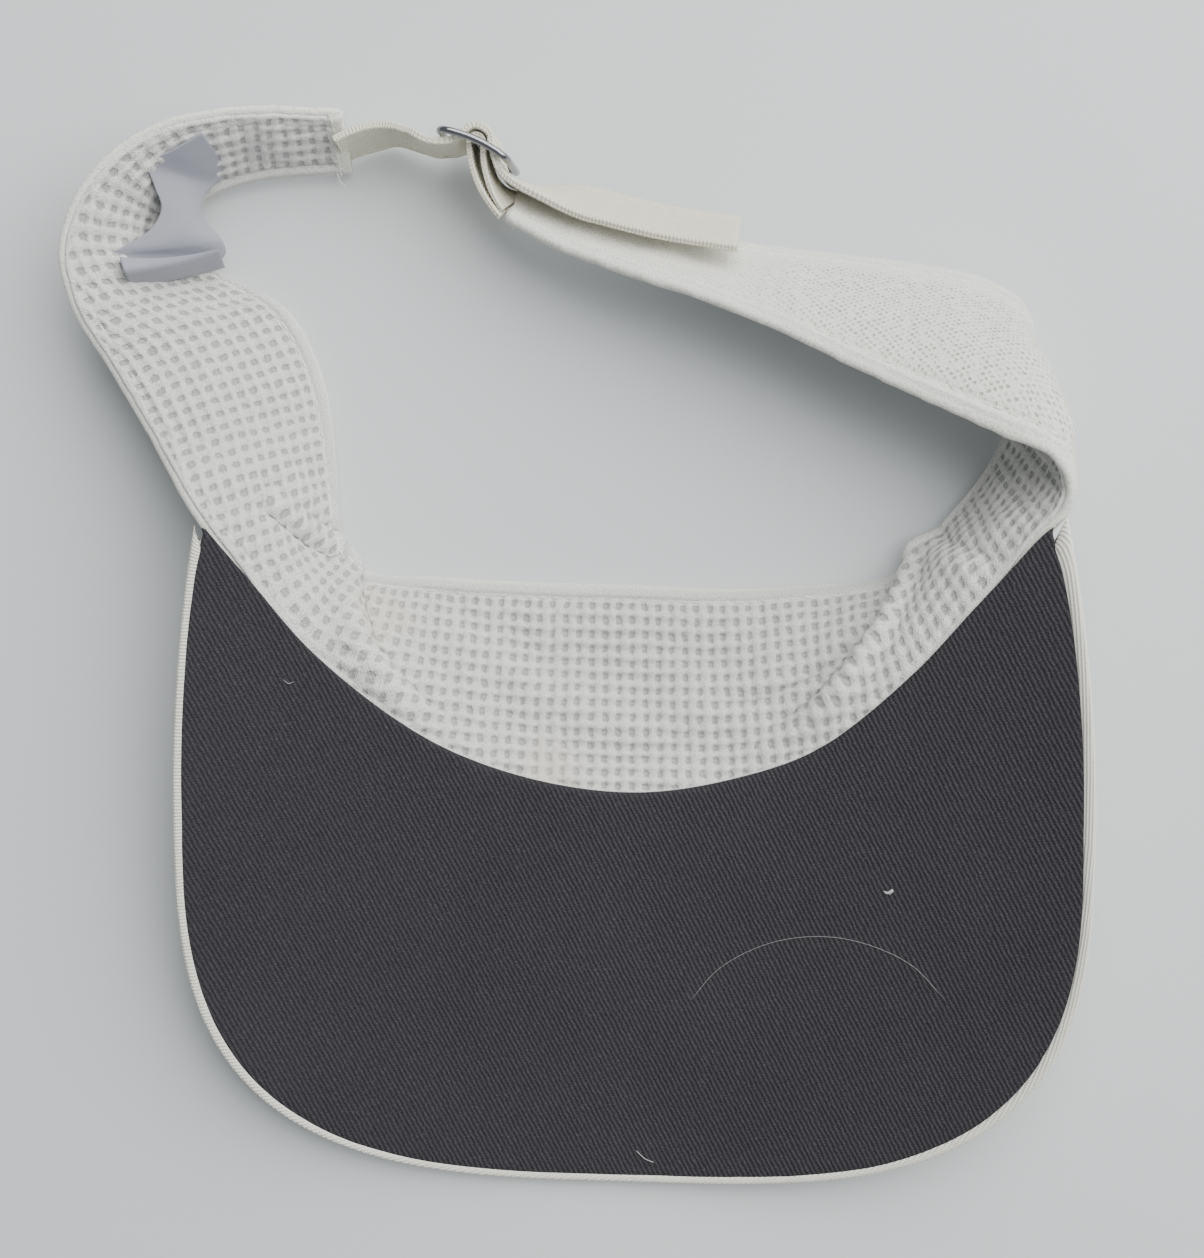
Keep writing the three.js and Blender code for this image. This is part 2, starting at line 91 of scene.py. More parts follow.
# Brim edge x, y, z, crown edge x, y, z, belly of the cloth, from the left end to the right end.
BAND_ROWS = [
    (-56, 111, 16, -55.5, 102, 2.4, 0),
    (-79, 110.2, 20, -80, 99.6, 2.2, 0.6),
    (-96, 105.5, 22, -89.4, 95, 2, 1),
    (-108.3, 95, 23, -93.6, 89.6, 1.8, 1.2),
    (-114.4, 80.8, 22, -91.6, 83, 1.7, 1.4),
    (-112.2, 68.6, 20, -83.3, 78, 1.7, 1.6),
    (-104.6, 56, 19, -70.4, 70.5, 1.7, 2),
    (-95.4, 41, 21, -62.5, 55, 1.7, 2.4),
    (-84.6, 23.6, SEAM_ROW, -59.6, 34.6, 1.7, 1.8),
    (-74.5, 10, SEAM_ROW, -58.6, 20.2, 1.6, 2.2),
    (-61.5, -6.2, SEAM_ROW, -52.6, 12.6, 1.5, 3.6),
    (-38.2, -24.6, SEAM_ROW, -35.5, 11, 1.1, 1.6),
    (-16, -33.6, SEAM_ROW, -14.5, 9.8, 1.05, -1),
    (7.6, -36.8, SEAM_ROW, 7.6, 9.2, 1.05, -1.6),
    (29, -33.6, SEAM_ROW, 27, 8.4, 1.05, -0.4),
    (47.3, -26.6, SEAM_ROW, 45, 9.2, 1.1, 2),
    (66.2, -10.6, SEAM_ROW, 65, 11.6, 1.5, 4.4),
    (78.2, 3.6, SEAM_ROW, 76, 23, 1.6, 4),
    (88.6, 16.6, SEAM_ROW, 85.4, 34, 1.7, 1.6),
    (96, 27.2, 34.2, 91.6, 46.6, 1.7, -1.4),
    (92.8, 35.4, 35.2, 94.2, 60, 1.7, -4.4),
    (82.9, 40.6, 34, 93.6, 71, 1.7, -5.5),
    (70, 46.8, 31.4, 84.6, 77, 1.9, -4),
    (55.9, 53.6, 29, 67.6, 80.4, 2.6, -2.6),
    (39.4, 62, 27, 49.3, 82.4, 3.6, -1.6),
    (20.6, 70, 25, 26.5, 85, 5, -0.6),
    (3.6, 76.2, 22.2, 7.3, 88.9, 6.6, -0.3),
    (-11.1, 82.4, 19.6, -8.1, 93, 7.6, 0),
    (-20.8, 88.3, 18, -18, 95.4, 8, 0),
]
LAST_ROW = len(BAND_ROWS) - 1
BELLY_SCALE = 6.75      # brings the greatest value of share * (1 - share) ** 2 to 1
LEFT_CORNER = 8
RIGHT_CORNER = 18


def spline(points, at):
    """Centripetal Catmull-Rom through points, read at row numbers."""
    points = np.asarray(points, float)
    at = np.clip(np.asarray(at, float), 0, len(points) - 1)
    low = np.minimum(at.astype(int), len(points) - 2)
    w = (at - low)[..., None]
    ends = np.vstack([2 * points[0] - points[1], points, 2 * points[-1] - points[-2]])
    p0, p1, p2, p3 = (ends[low + k] for k in range(4))

    def gap(a, b):
        return np.maximum(np.sqrt(np.linalg.norm(b - a, axis=-1)), 1e-4)[..., None]

    d0, d1, d2 = gap(p0, p1), gap(p1, p2), gap(p2, p3)
    t1 = ((p1 - p0) / d0 - (p2 - p0) / (d0 + d1) + (p2 - p1) / d1) * d1
    t2 = ((p2 - p1) / d1 - (p3 - p1) / (d1 + d2) + (p3 - p2) / d2) * d1
    c2 = -3 * p1 + 3 * p2 - 2 * t1 - t2
    c3 = 2 * p1 - 2 * p2 + t1 + t2
    return p1 + t1 * w + c2 * w ** 2 + c3 * w ** 3


def unit(v):
    return v / np.maximum(np.linalg.norm(v, axis=-1, keepdims=True), 1e-9)


def hump(distance, width):
    """1 at no distance, falling off smoothly over the width."""
    return np.exp(-(distance / width) ** 2)


def travel(points):
    """Distance along a line of points, from 0 at its start."""
    return np.concatenate([[0], np.cumsum(np.linalg.norm(np.diff(points, axis=0), axis=1))])


def columns(values, count):
    """A column of values repeated across a grid."""
    return np.repeat(values[:, None], count, 1)


BRIM_EDGE = np.array([(x, y, brim_height(x, y) if z is SEAM_ROW else z) for x, y, z, *_ in BAND_ROWS])
CROWN_EDGE = np.array([r[3:6] for r in BAND_ROWS], float)
BELLY = np.array([(i, r[6], 0) for i, r in enumerate(BAND_ROWS)], float)

FINE_ROWS = np.linspace(0, LAST_ROW, 1400)
FINE_MIDDLE = 0.5 * (spline(BRIM_EDGE, FINE_ROWS) + spline(CROWN_EDGE, FINE_ROWS))
FINE_LENGTH = travel(FINE_MIDDLE)
FINE_WIDTH = np.linalg.norm(spline(CROWN_EDGE, FINE_ROWS) - spline(BRIM_EDGE, FINE_ROWS), axis=1)
BAND_LENGTH = float(FINE_LENGTH[-1])


def length_at(row):
    return np.interp(row, FINE_ROWS, FINE_LENGTH)


def row_at(length):
    return np.interp(length, FINE_LENGTH, FINE_ROWS)


def width_at(row):
    return np.interp(row, FINE_ROWS, FINE_WIDTH)


def smooth_noise(a, c, scale, seed):
    """Cheap wavy noise: a few sines at odd angles, about -1 to 1."""
    local = np.random.default_rng(seed)
    total = np.zeros(np.broadcast(a, c).shape)
    for _ in range(7):
        angle = local.uniform(0, 2 * math.pi)
        pitch = scale * local.uniform(0.6, 1.7)
        phase = local.uniform(0, 2 * math.pi)
        total = total + np.sin((a * math.cos(angle) + c * math.sin(angle)) * 2 * math.pi / pitch + phase)
    return total / 4.0


def crease(a, c, path, width, rise, drop, taper):
    """A soft roll on the right of a path drawn in (row, share), with a groove along the path itself."""
    points = [(float(length_at(r)), s * float(width_at(r))) for r, s in path]
    best = np.full(np.broadcast(a, c).shape, 1e9)
    side = np.zeros_like(best)
    along = np.zeros_like(best)
    for k, ((x0, y0), (x1, y1)) in enumerate(zip(points, points[1:])):
        dx, dy = x1 - x0, y1 - y0
        size = dx * dx + dy * dy
        t = np.clip(((a - x0) * dx + (c - y0) * dy) / size, 0, 1)
        px, py = a - x0 - t * dx, c - y0 - t * dy
        distance = np.hypot(px, py)
        nearer = distance < best
        best = np.where(nearer, distance, best)
        side = np.where(nearer, np.sign(dx * py - dy * px), side)
        along = np.where(nearer, (k + t) / (len(points) - 1), along)
    s = best * side
    fade = np.clip((1 - along) * 3, 0, 1) * np.clip(along * 5, 0, 1)
    fade = fade * fade * (3 - 2 * fade)
    reach = width * (1 - taper * along)
    roll = rise * hump(s - 1.3 * reach, reach)
    groove = drop * hump(s, np.maximum(0.5 * reach, 2.0))
    return fade * (roll - groove)


# Paths of the creases in (row, share), each with its width, rise, groove depth and taper in mm.
CREASES = [
    ([(16.5, 1.4), (16.25, 1.0), (16.05, 0.75), (15.75, 0.52), (15.3, 0.36), (14.8, 0.26), (14.0, 0.16)],
     (4.4, 3.8, 1.6, 0.5)),
    ([(16.0, 0.56), (15.5, 0.48), (15.0, 0.43), (14.3, 0.4), (13.4, 0.46)], (-5.0, 1.0, 1.1, 0.0)),
    ([(11.3, 0.2), (10.75, 0.26), (10.4, 0.36), (10.2, 0.6), (9.85, 1.0), (9.7, 1.4)], (4.4, -0.6, 1.3, 0.0)),
    ([(9.7, 1.5), (9.9, 1.0), (10.2, 0.6), (10.4, 0.4), (10.75, 0.3), (11.2, 0.26)], (-4.2, 2.8, 0.0, 0.0)),
    ([(8.0, 0.34), (8.3, 0.42), (8.55, 0.5), (9.3, 0.8), (9.6, 1.0)], (3.4, 1.5, 1.3, 0.0)),
    ([(7.6, 0.42), (8.0, 0.52), (8.35, 0.64), (8.9, 0.95), (9.2, 1.3)], (3.2, 0.8, 0.6, 0.0)),
    ([(17.8, -0.2), (17.5, 0.2), (17.2, 0.5), (17.0, 0.85), (16.9, 1.1)], (3.2, 0.9, 0.8, 0.0)),
]


def folds(row, share):
    """Macro wrinkles of the band, in mm towards the lining."""
    a = length_at(row)
    c = share * width_at(row)
    inside = np.clip(share * (1 - share) * 4, 0, 1)
    front = hump(row - 13, 3.2)
    height = 0.36 * smooth_noise(a, c * 1.5, 22, 3) * inside + 0.14 * smooth_noise(a, c, 8, 4) * inside
    height = height + 0.6 * front * inside * np.sin(c / 3.4 + 0.04 * a + smooth_noise(a, c, 40, 5))
    height = height + 0.16 * np.exp(-share * 9) * smooth_noise(a, c, 6.5, 11)
    rolls = sum(crease(a, c, path, *size) for path, size in CREASES)
    return height + rolls * np.clip(share * 8, 0, 1)


def band_base(row, share):
    """The band's middle layer without wrinkles: points, directions towards the lining and belly in mm."""
    row, share = np.broadcast_arrays(np.asarray(row, float), np.asarray(share, float))
    step = 0.006
    low, high = np.clip(row - step, 0, LAST_ROW), np.clip(row + step, 0, LAST_ROW)
    near = spline(BRIM_EDGE, row)
    across = spline(CROWN_EDGE, row) - near
    along = sum(spline(edge, high) - spline(edge, low) for edge in (BRIM_EDGE, CROWN_EDGE))
    belly = spline(BELLY, row)[..., 1] * BELLY_SCALE * share * (1 - share) ** 2
    return near + across * share[..., None], unit(np.cross(along, across)), belly


def band_point(row, share):
    flat, facing, belly = band_base(row, share)
    return flat + facing * (belly + folds(row, share))[..., None]


def normals(surface, u, v, du, dv):
    along = surface(u + du, v) - surface(u - du, v)
    across = surface(u, v + dv) - surface(u, v - dv)
    return unit(np.cross(along, across))


# ---- meshes ----
FLOOR_EASE = 0.5        # height below which pieces are pressed flat on to the floor, in mm


def add_object(name, data):
    obj = bpy.data.objects.new(name, data)
    bpy.context.scene.collection.objects.link(obj)
    return obj


def to_row(points):
    return (np.asarray(points, float) + LAY) * MM


def mesh_piece(name, points, faces, uv, material):
    """A mesh piece from points in mm. uv holds one pair per point, in mm along and across the cloth."""
    points = np.array(points, float)
    low = points[:, 2] < FLOOR_EASE
    points[low, 2] = FLOOR_EASE * np.exp(points[low, 2] / FLOOR_EASE - 1)
    mesh = bpy.data.meshes.new(name)
    mesh.from_pydata([tuple(p) for p in to_row(points)], [], [tuple(int(i) for i in face) for face in faces])
    mesh.polygons.foreach_set("use_smooth", [True] * len(mesh.polygons))
    layer = mesh.uv_layers.new(name="cloth")
    corners = np.empty(len(mesh.loops), int)
    mesh.loops.foreach_get("vertex_index", corners)
    layer.data.foreach_set("uv", np.asarray(uv, np.float32)[corners].ravel())
    mesh.validate()
    mesh.update()
    mesh.materials.append(material)
    work = bmesh.new()
    work.from_mesh(mesh)
    bmesh.ops.recalc_face_normals(work, faces=work.faces)
    work.to_mesh(mesh)
    work.free()
    return add_object(name, mesh)


def loft(name, rings, uv, material, closed=False):
    """Rings of points, each ring closed. Open lofts get a cap at both ends."""
    count, size = rings.shape[:2]
    i, j = np.meshgrid(np.arange(count if closed else count - 1), np.arange(size), indexing="ij")
    k = (i + 1) % count
    n = (j + 1) % size
    quads = np.stack([i * size + j, i * size + n, k * size + n, k * size + j], -1).reshape(-1, 4)
    caps = [] if closed else [range(size - 1, -1, -1), range((count - 1) * size, count * size)]
    return mesh_piece(name, rings.reshape(-1, 3), [*quads, *caps], uv.reshape(-1, 2), material)


def band_loft(name, from_length, to_length, step, profile, relief, material):
    """profile(width, length) gives (c, h) pairs round the section; relief(a, c, width, h) is added to h."""
    lengths = np.linspace(from_length, to_length, max(2, int(round((to_length - from_length) / step)) + 1))
    rows = row_at(lengths)
    width = width_at(rows)
    section = np.stack([profile(w, x) for w, x in zip(width, lengths)])
    width = width[:, None]
    c, h = section[..., 0], section[..., 1]
    share = c / width
    a, row = columns(lengths, c.shape[1]), columns(rows, c.shape[1])
    points = band_point(row, share)
    normal = normals(band_point, row, share, 0.03, 0.02)
    if relief:
        h = h + relief(a, c, width, h)
    piece = loft(name, points + normal * h[..., None], np.stack([a, c - width], -1), material)
    margin = piece.data.attributes.new("margin", "FLOAT", "POINT")
    margin.data.foreach_set("value", np.minimum(1.2 + 1.6 * c, width - c).ravel().astype(np.float32))
    return piece


def close_at_ends(steps):
    """Shares from 0 to 1, closer together near both ends."""
    t = np.linspace(0, 1, steps)
    return t - 0.1 * np.sin(2 * math.pi * t)


def sheet_profile(start, stop, low, high, steps, round_steps=4):
    """Flat sheet section with round edges, start to stop across the band."""
    radius = (high - low) / 2
    middle = (high + low) / 2
    turn = np.linspace(-math.pi / 2, math.pi / 2, round_steps + 2)[1:-1]
    top = stop - radius - (stop - start - 2 * radius) * close_at_ends(steps)
    bottom = np.linspace(start + radius, stop - radius, max(4, steps // 8))
    right = [(stop - radius + radius * math.cos(t), middle + radius * math.sin(t)) for t in turn]
    left = [(start + radius - radius * math.cos(t), middle + radius * math.sin(t)) for t in turn[::-1]]
    return np.array([(x, low) for x in bottom] + right + [(x, high) for x in top] + left)


# ---- materials ----


def arithmetic(operation):
    return lambda value, other: value.tree.math(operation, value, other)


class Value:
    """A node's output that can be used in arithmetic."""

    def __init__(self, tree, socket):
        self.tree = tree
        self.socket = socket

    __add__ = __radd__ = arithmetic("ADD")
    __sub__ = arithmetic("SUBTRACT")
    __mul__ = __rmul__ = arithmetic("MULTIPLY")
    __truediv__ = arithmetic("DIVIDE")
    __pow__ = arithmetic("POWER")

    def __rsub__(self, other):
        return self.tree.math("SUBTRACT", other, self)

    def __abs__(self):
        return self.tree.math("ABSOLUTE", self)

    def cell(self, pitch):
        """Distance from the middle of the nearest cell of a row of cells."""
        return (self.tree.math("FRACT", self / pitch) - 0.5) * pitch

    def wave(self, pitch, kind="SINE"):
        """A wave that repeats each time the value grows by the pitch."""
        return self.tree.math(kind, self * (2 * math.pi / pitch))


class Tree:
    """Short hands for building a shader or group node tree."""

    def __init__(self, tree):
        self.tree = tree

    def add(self, kind, **settings):
        node = self.tree.nodes.new(kind)
        for key, value in settings.items():
            setattr(node, key, value)
        return node

    def feed(self, socket, value):
        if isinstance(value, Value):
            value = value.socket
        if isinstance(value, bpy.types.NodeSocket):
            self.tree.links.new(value, socket)
        else:
            socket.default_value = value

    def feed_all(self, node, **values):
        """Feeds inputs by name, with _ for a space."""
        for name, value in values.items():
            self.feed(node.inputs[name.replace("_", " ")], value)
        return node

    def math(self, operation, *values):
        node = self.add("ShaderNodeMath", operation=operation)
        for socket, value in zip(node.inputs, values):
            self.feed(socket, value)
        return Value(self, node.outputs[0])

    def noise(self, vector, scale, detail=3.0, roughness=0.55):
        node = self.feed_all(self.add("ShaderNodeTexNoise"), Vector=vector, Scale=scale, Detail=detail,
                             Roughness=roughness)
        return Value(self, node.outputs["Fac"])

    def remap(self, value, low, high, to_low=0.0, to_high=1.0):
        node = self.add("ShaderNodeMapRange", interpolation_type="SMOOTHSTEP")
        self.feed_all(node, Value=value, From_Min=low, From_Max=high, To_Min=to_low, To_Max=to_high)
        return Value(self, node.outputs["Result"])

    def mix(self, factor, a, b):
        node = self.add("ShaderNodeMix", data_type="RGBA")
        self.feed(node.inputs["Factor"], factor)
        self.feed(node.inputs[6], a)
        self.feed(node.inputs[7], b)
        return node.outputs[2]

    def split(self, vector):
        node = self.add("ShaderNodeSeparateXYZ")
        self.feed(node.inputs[0], vector)
        return Value(self, node.outputs[0]), Value(self, node.outputs[1])

    def join(self, x, y, z):
        node = self.add("ShaderNodeCombineXYZ")
        for socket, value in zip(node.inputs, (x, y, z)):
            self.feed(socket, value)
        return node.outputs[0]

    def group(self, group, **inputs):
        node = self.add("ShaderNodeGroup")
        node.node_tree = group
        self.feed_all(node, **inputs)
        return {socket.name: Value(self, socket) for socket in node.outputs}


def surface_area(grid):
    """Area in square metres of a grid of points in mm."""
    across, along = np.diff(grid, axis=0)[:, :-1], np.diff(grid, axis=1)[:-1]
    return float(np.sum(np.linalg.norm(np.cross(across, along), axis=-1))) * MM * MM


def new_group(name, inputs, outputs, tree_kind="ShaderNodeTree", output_kind="Float"):
    group = bpy.data.node_groups.new(name, tree_kind)
    for label, kind, value in inputs:
        socket = group.interface.new_socket(label, in_out="INPUT", socket_type="NodeSocket" + kind)
        if value is not None:
            socket.default_value = value
    for label in outputs:
        group.interface.new_socket(label, in_out="OUTPUT", socket_type="NodeSocket" + output_kind)
    tree = Tree(group)
    given = {socket.name: Value(tree, socket) for socket in tree.add("NodeGroupInput").outputs if socket.name}
    return group, tree, given, tree.add("NodeGroupOutput").inputs


def waffle_group():
    """Waffle weave: a raised grid of ribs with an open dimple in each cell. Coordinates in mm."""
    group, t, given, result = new_group(
        "waffle_weave",
        [("Vector", "Vector", None), ("Pitch Along", "Float", WAFFLE_ALONG),
         ("Pitch Across", "Float", WAFFLE_ACROSS)],
        ["Dimple", "Height", "Yarn", "Groove Shade"])
    half_length, half_height = 0.72, 1.02
    squareness = 3.0
    x, y = t.split(given["Vector"])
    sway = (t.noise(given["Vector"], 0.28, 2.0) - 0.5) * 1.5
    x = x + sway
    y = y - sway * 0.7
    dx = x.cell(given["Pitch Along"])
    dy = y.cell(given["Pitch Across"])
    ragged = (t.noise(given["Vector"], 2.0, 3.0) - 0.5) * 1.5
    reach = t.math("SQRT", abs(dx / half_length) ** squareness + abs(dy / half_height) ** squareness)
    dimple = t.remap(reach + ragged, 0.5, 1.15, 1.0, 0.0)
    rib = (y / given["Pitch Across"]).wave(1, "COSINE")
    pillar = (x / given["Pitch Along"]).wave(1, "COSINE")
    inner = dy.wave(0.9, "COSINE") * dimple
    # Dimple Shade masks the painted shade in each dimple.
    t.feed(result["Dimple"], dimple * (inner * -0.15 + 0.85))
    t.feed(result["Height"], (rib * 0.5 + pillar * 0.22) * 0.5 - dimple * 0.3)
    t.feed(result["Yarn"], x.wave(0.52) * y.wave(0.6))
    # Groove Shade masks the painted shade in the hollows between the ribs.
    t.feed(result["Groove Shade"], 0.5 - rib * 0.5)
    return group


def ribs_group():
    """Parallel twill ribs with thread breaks. Coordinates in mm, Angle in radians."""
    group, t, given, result = new_group(
        "twill_ribs",
        [("Vector", "Vector", None), ("Pitch", "Float", 1.15), ("Angle", "Float", 0.0),
         ("Wander", "Float", 0.25)],
        ["Rib", "Thread"])
    x, y = t.split(given["Vector"])
    cosine, sine = t.math("COSINE", given["Angle"]), t.math("SINE", given["Angle"])
    across = y * cosine - x * sine
    along = x * cosine + y * sine
    wander = (t.noise(given["Vector"], 0.5, 3.0) - 0.5) * given["Wander"]
    phase = (across + wander) / given["Pitch"]
    step = along / (given["Pitch"] * 0.62) + t.math("FLOOR", phase) * 0.37
    t.feed(result["Rib"], phase.wave(1))
    t.feed(result["Thread"], step.wave(1))
    return group


def fibre_group():
    """Uneven cloth: broad stain, mid mottle and fine fuzz, all from 0 to 1. Coordinates in mm."""
    group, t, given, result = new_group(
        "fibre_tone", [("Vector", "Vector", None)], ["Broad", "Mottle", "Fuzz"])
    t.feed(result["Broad"], t.noise(given["Vector"], 0.035, 3.0))
    t.feed(result["Mottle"], t.noise(given["Vector"], 0.5, 4.0, 0.65))
    t.feed(result["Fuzz"], t.noise(given["Vector"], 2.3, 4.0, 0.75))
    return group


WAFFLE = waffle_group()
RIBS = ribs_group()
FIBRE = fibre_group()


def cloth_material(name, roughness, sheen, sheen_roughness=0.5):
    material = bpy.data.materials.new(name)
    material.use_nodes = True
    tree = Tree(material.node_tree)
    shader = material.node_tree.nodes["Principled BSDF"]
    tree.feed_all(shader, Roughness=roughness, Specular_IOR_Level=0.25, Sheen_Weight=sheen,
                  Sheen_Roughness=sheen_roughness)
    return material, tree, shader


def cloth_coordinates(t):
    return t.add("ShaderNodeUVMap", uv_map="cloth").outputs[0]


def edge_distance(t):
    return t.add("ShaderNodeAttribute", attribute_name="margin").outputs["Fac"]


def object_mm(t):
    node = t.add("ShaderNodeVectorMath", operation="SCALE")
    t.feed(node.inputs[0], t.add("ShaderNodeTexCoord").outputs["Object"])
    node.inputs["Scale"].default_value = 1 / MM
    return node.outputs[0]


def set_bump(t, shader, height):
    bump = t.feed_all(t.add("ShaderNodeBump"), Strength=1.0, Distance=MM, Height=height)
    t.feed(shader.inputs["Normal"], bump.outputs[0])


def rgb(red, green, blue):
    """Colour from 0-255 display values."""
    def linear(v):
        v = v / 255.0
        return v / 12.92 if v <= 0.04045 else ((v + 0.055) / 1.055) ** 2.4
    return (linear(red), linear(green), linear(blue), 1.0)


def stain(t, vector, centre, radius, colour, base, strength):
    """A faint soft-edged stain at a place in row-frame mm."""
    offset = t.add("ShaderNodeVectorMath", operation="DISTANCE")
    t.feed(offset.inputs[0], vector)
    offset.inputs[1].default_value = centre
    reach = t.noise(vector, 0.18, 3.0) * radius + offset.outputs["Value"]
    return t.mix(t.remap(reach, radius * 0.6, radius * 1.7, strength, 0.0), base, colour)


def layered(t, base, *layers):
    """A base colour with (mask, colour) layers laid over it in turn."""
    for mask, colour in layers:
        base = t.mix(mask, base, colour)
    return base


def waffle_material():
    material, t, shader = cloth_material("waffle_lining", 0.92, 0.25)
    cloth = cloth_coordinates(t)
    weave = t.group(WAFFLE, Vector=cloth)
    fibre = t.group(FIBRE, Vector=cloth)
    hem = t.remap(edge_distance(t), 2.4, 3.6)
    tone = layered(t, t.mix(fibre["Broad"], rgb(249, 248, 240), rgb(253, 253, 250)),
                   (fibre["Mottle"] * 0.3, rgb(224, 223, 218)),
                   # Painted shade: the grey layer darkens the hollows between the ribs.
                   (weave["Groove Shade"] * 0.2, rgb(192, 192, 190)),
                   (t.remap(fibre["Fuzz"], 0.36, 0.56, 0.55, 0.0), rgb(168, 168, 165)),
                   # Painted shade: the dark grey layer darkens each dimple of the weave.
                   (weave["Dimple"] * hem * 0.72, rgb(146, 146, 146)))
    place = object_mm(t)
    tone = stain(t, place, (-44.0, 8.0, 10.0), 13.0, rgb(226, 220, 196), tone, 0.35)
    tone = stain(t, place, (-6.0, -25.0, 12.0), 9.0, rgb(226, 218, 192), tone, 0.4)
    t.feed(shader.inputs["Base Color"], tone)
    set_bump(t, shader,
             weave["Height"] * hem + weave["Yarn"] * 0.06 + fibre["Fuzz"] * 0.5 + fibre["Mottle"] * 0.35)
    return material


def pinhole_material():
    """Outer cloth: close knit with staggered rows of pinholes, coloured dark as painted shade inside the
    holes.
    """
    material, t, shader = cloth_material("perforated_cloth", 0.9, 0.2)
    cloth = cloth_coordinates(t)
    fibre = t.group(FIBRE, Vector=cloth)
    pitch_along, pitch_across = 1.9, 1.7
    x, y = t.split(cloth)
    sway = (t.noise(cloth, 0.35, 2.0) - 0.5) * 0.9
    x, y = x + sway, y - sway
    rows = []
    for shift in (0.0, 0.5):
        dx = (x + shift * pitch_along).cell(pitch_along)
        dy = (y + shift * pitch_across).cell(pitch_across)
        rows.append(t.remap(t.math("SQRT", dx * dx + dy * dy), 0.2, 0.5, 1.0, 0.0))
    holes = t.math("MAXIMUM", *rows) * t.remap(fibre["Mottle"], 0.4, 0.6, 0.1, 1.0)
    holes = holes * t.remap(edge_distance(t), 3.5, 9.0)
    holes = holes * t.remap(x, BAND_LENGTH - 75, BAND_LENGTH - 45, 1.0, 0.3)
    t.feed(shader.inputs["Base Color"], layered(
        t, t.mix(fibre["Broad"], rgb(244, 244, 236), rgb(251, 250, 242)),
        (fibre["Mottle"] * 0.4, rgb(222, 220, 206)),
        (t.remap(fibre["Fuzz"], 0.36, 0.56, 0.5, 0.0), rgb(178, 176, 166)),
        # Painted shade: the pinholes take a dark colour for the shade inside them.
        (holes * 0.75, rgb(150, 147, 134))))
    set_bump(t, shader, fibre["Fuzz"] * 0.4 - holes * 0.35 + fibre["Mottle"] * 0.25)
    return material


def ribbed_material(name, low, high, groove, lint, pitch, angle, depth, wander=0.25, cloth_uv=True,
                    sheen=0.2, grain=0.3):
    """Twill cloth: ribs, thread breaks, a mottled tone and painted shade in the grooves between the ribs.
    pitch and depth in mm, angle in degrees.
    """
    material, t, shader = cloth_material(name, 0.92, sheen)
    place = cloth_coordinates(t) if cloth_uv else object_mm(t)
    ribs = t.group(RIBS, Vector=place, Pitch=pitch, Angle=math.radians(angle), Wander=wander)
    fibre = t.group(FIBRE, Vector=place)
    # Painted shade: the groove colour is laid in the valleys between the ribs, broken by the threads; it also
    # darkens specks of fine grain.
    shade = t.remap(ribs["Rib"], -0.9, 0.3, 1.0, 0.0) * t.remap(fibre["Mottle"], 0.25, 0.65, 1.0, 0.35)
    broken_shade = shade * t.remap(ribs["Thread"] + fibre["Fuzz"], -0.8, 1.4, 1.0, 0.45)
    t.feed(shader.inputs["Base Color"], layered(
        t, t.mix(fibre["Broad"], low, high),
        (broken_shade * 0.8, groove),
        (t.remap(fibre["Fuzz"], 0.52, 0.72, 0.0, grain), lint),
        (t.remap(fibre["Fuzz"], 0.3, 0.48, grain * 1.3, 0.0), groove)))
    set_bump(t, shader, ribs["Rib"] * depth + ribs["Thread"] * (depth * 0.45) + fibre["Fuzz"] * (depth * 1.8))
    return material


def plain_material(name, colour, roughness, sheen=0.0):
    material, t, shader = cloth_material(name, roughness, sheen)
    fibre = t.group(FIBRE, Vector=object_mm(t))
    darker = tuple(0.8 * v for v in colour[:3]) + (1.0,)
    t.feed(shader.inputs["Base Color"], t.mix(fibre["Mottle"] * 0.2, colour, darker))
    return material


def chrome_material():
    material, t, shader = cloth_material("buckle_chrome", 0.16, 0.0)
    fibre = t.group(FIBRE, Vector=object_mm(t))
    t.feed_all(shader, Metallic=1.0, Base_Color=rgb(138, 138, 142),
               Roughness=t.remap(fibre["Mottle"], 0.3, 0.7, 0.1, 0.24))
    set_bump(t, shader, fibre["Mottle"] * 0.02)
    return material


def satin_material():
    """Blank woven satin with a fine cross weave."""
    material, t, shader = cloth_material("satin_label", 0.42, 0.3, 0.3)
    cloth = cloth_coordinates(t)
    fibre = t.group(FIBRE, Vector=cloth)
    ribs = t.group(RIBS, Vector=cloth, Pitch=0.32, Angle=0.0, Wander=0.05)
    t.feed_all(shader, Anisotropic=0.5,
               Base_Color=t.mix(fibre["Broad"], rgb(138, 140, 149), rgb(166, 168, 177)))
    set_bump(t, shader, ribs["Rib"] * 0.02 + fibre["Mottle"] * 0.12)
    return material


MAT_WAFFLE = waffle_material()
MAT_OUTER = pinhole_material()
# The third colour of each twill is the painted shade in its rib grooves, also used for dark specks of grain.
MAT_CHARCOAL = ribbed_material(
    "charcoal_twill", rgb(50, 49, 53), rgb(58, 56, 60), rgb(30, 29, 33), rgb(88, 86, 91),
    pitch=0.98, angle=-63, depth=0.1, wander=0.8, cloth_uv=False, sheen=0.02, grain=0.6)
MAT_TWILL = ribbed_material(
    "off_white_twill", rgb(228, 226, 214), rgb(238, 236, 226), rgb(202, 199, 186), rgb(248, 247, 240),
    pitch=0.8, angle=38, depth=0.08)
MAT_TAPE = ribbed_material(
    "cream_tape", rgb(230, 226, 204), rgb(240, 237, 220), rgb(206, 201, 178), rgb(250, 248, 236),
    pitch=0.62, angle=52, depth=0.08)
MAT_FELT = plain_material("interlining", rgb(216, 216, 208), 0.95)
MAT_BOARD = plain_material("brim_board", rgb(220, 220, 216), 0.5)
MAT_CHROME = chrome_material()
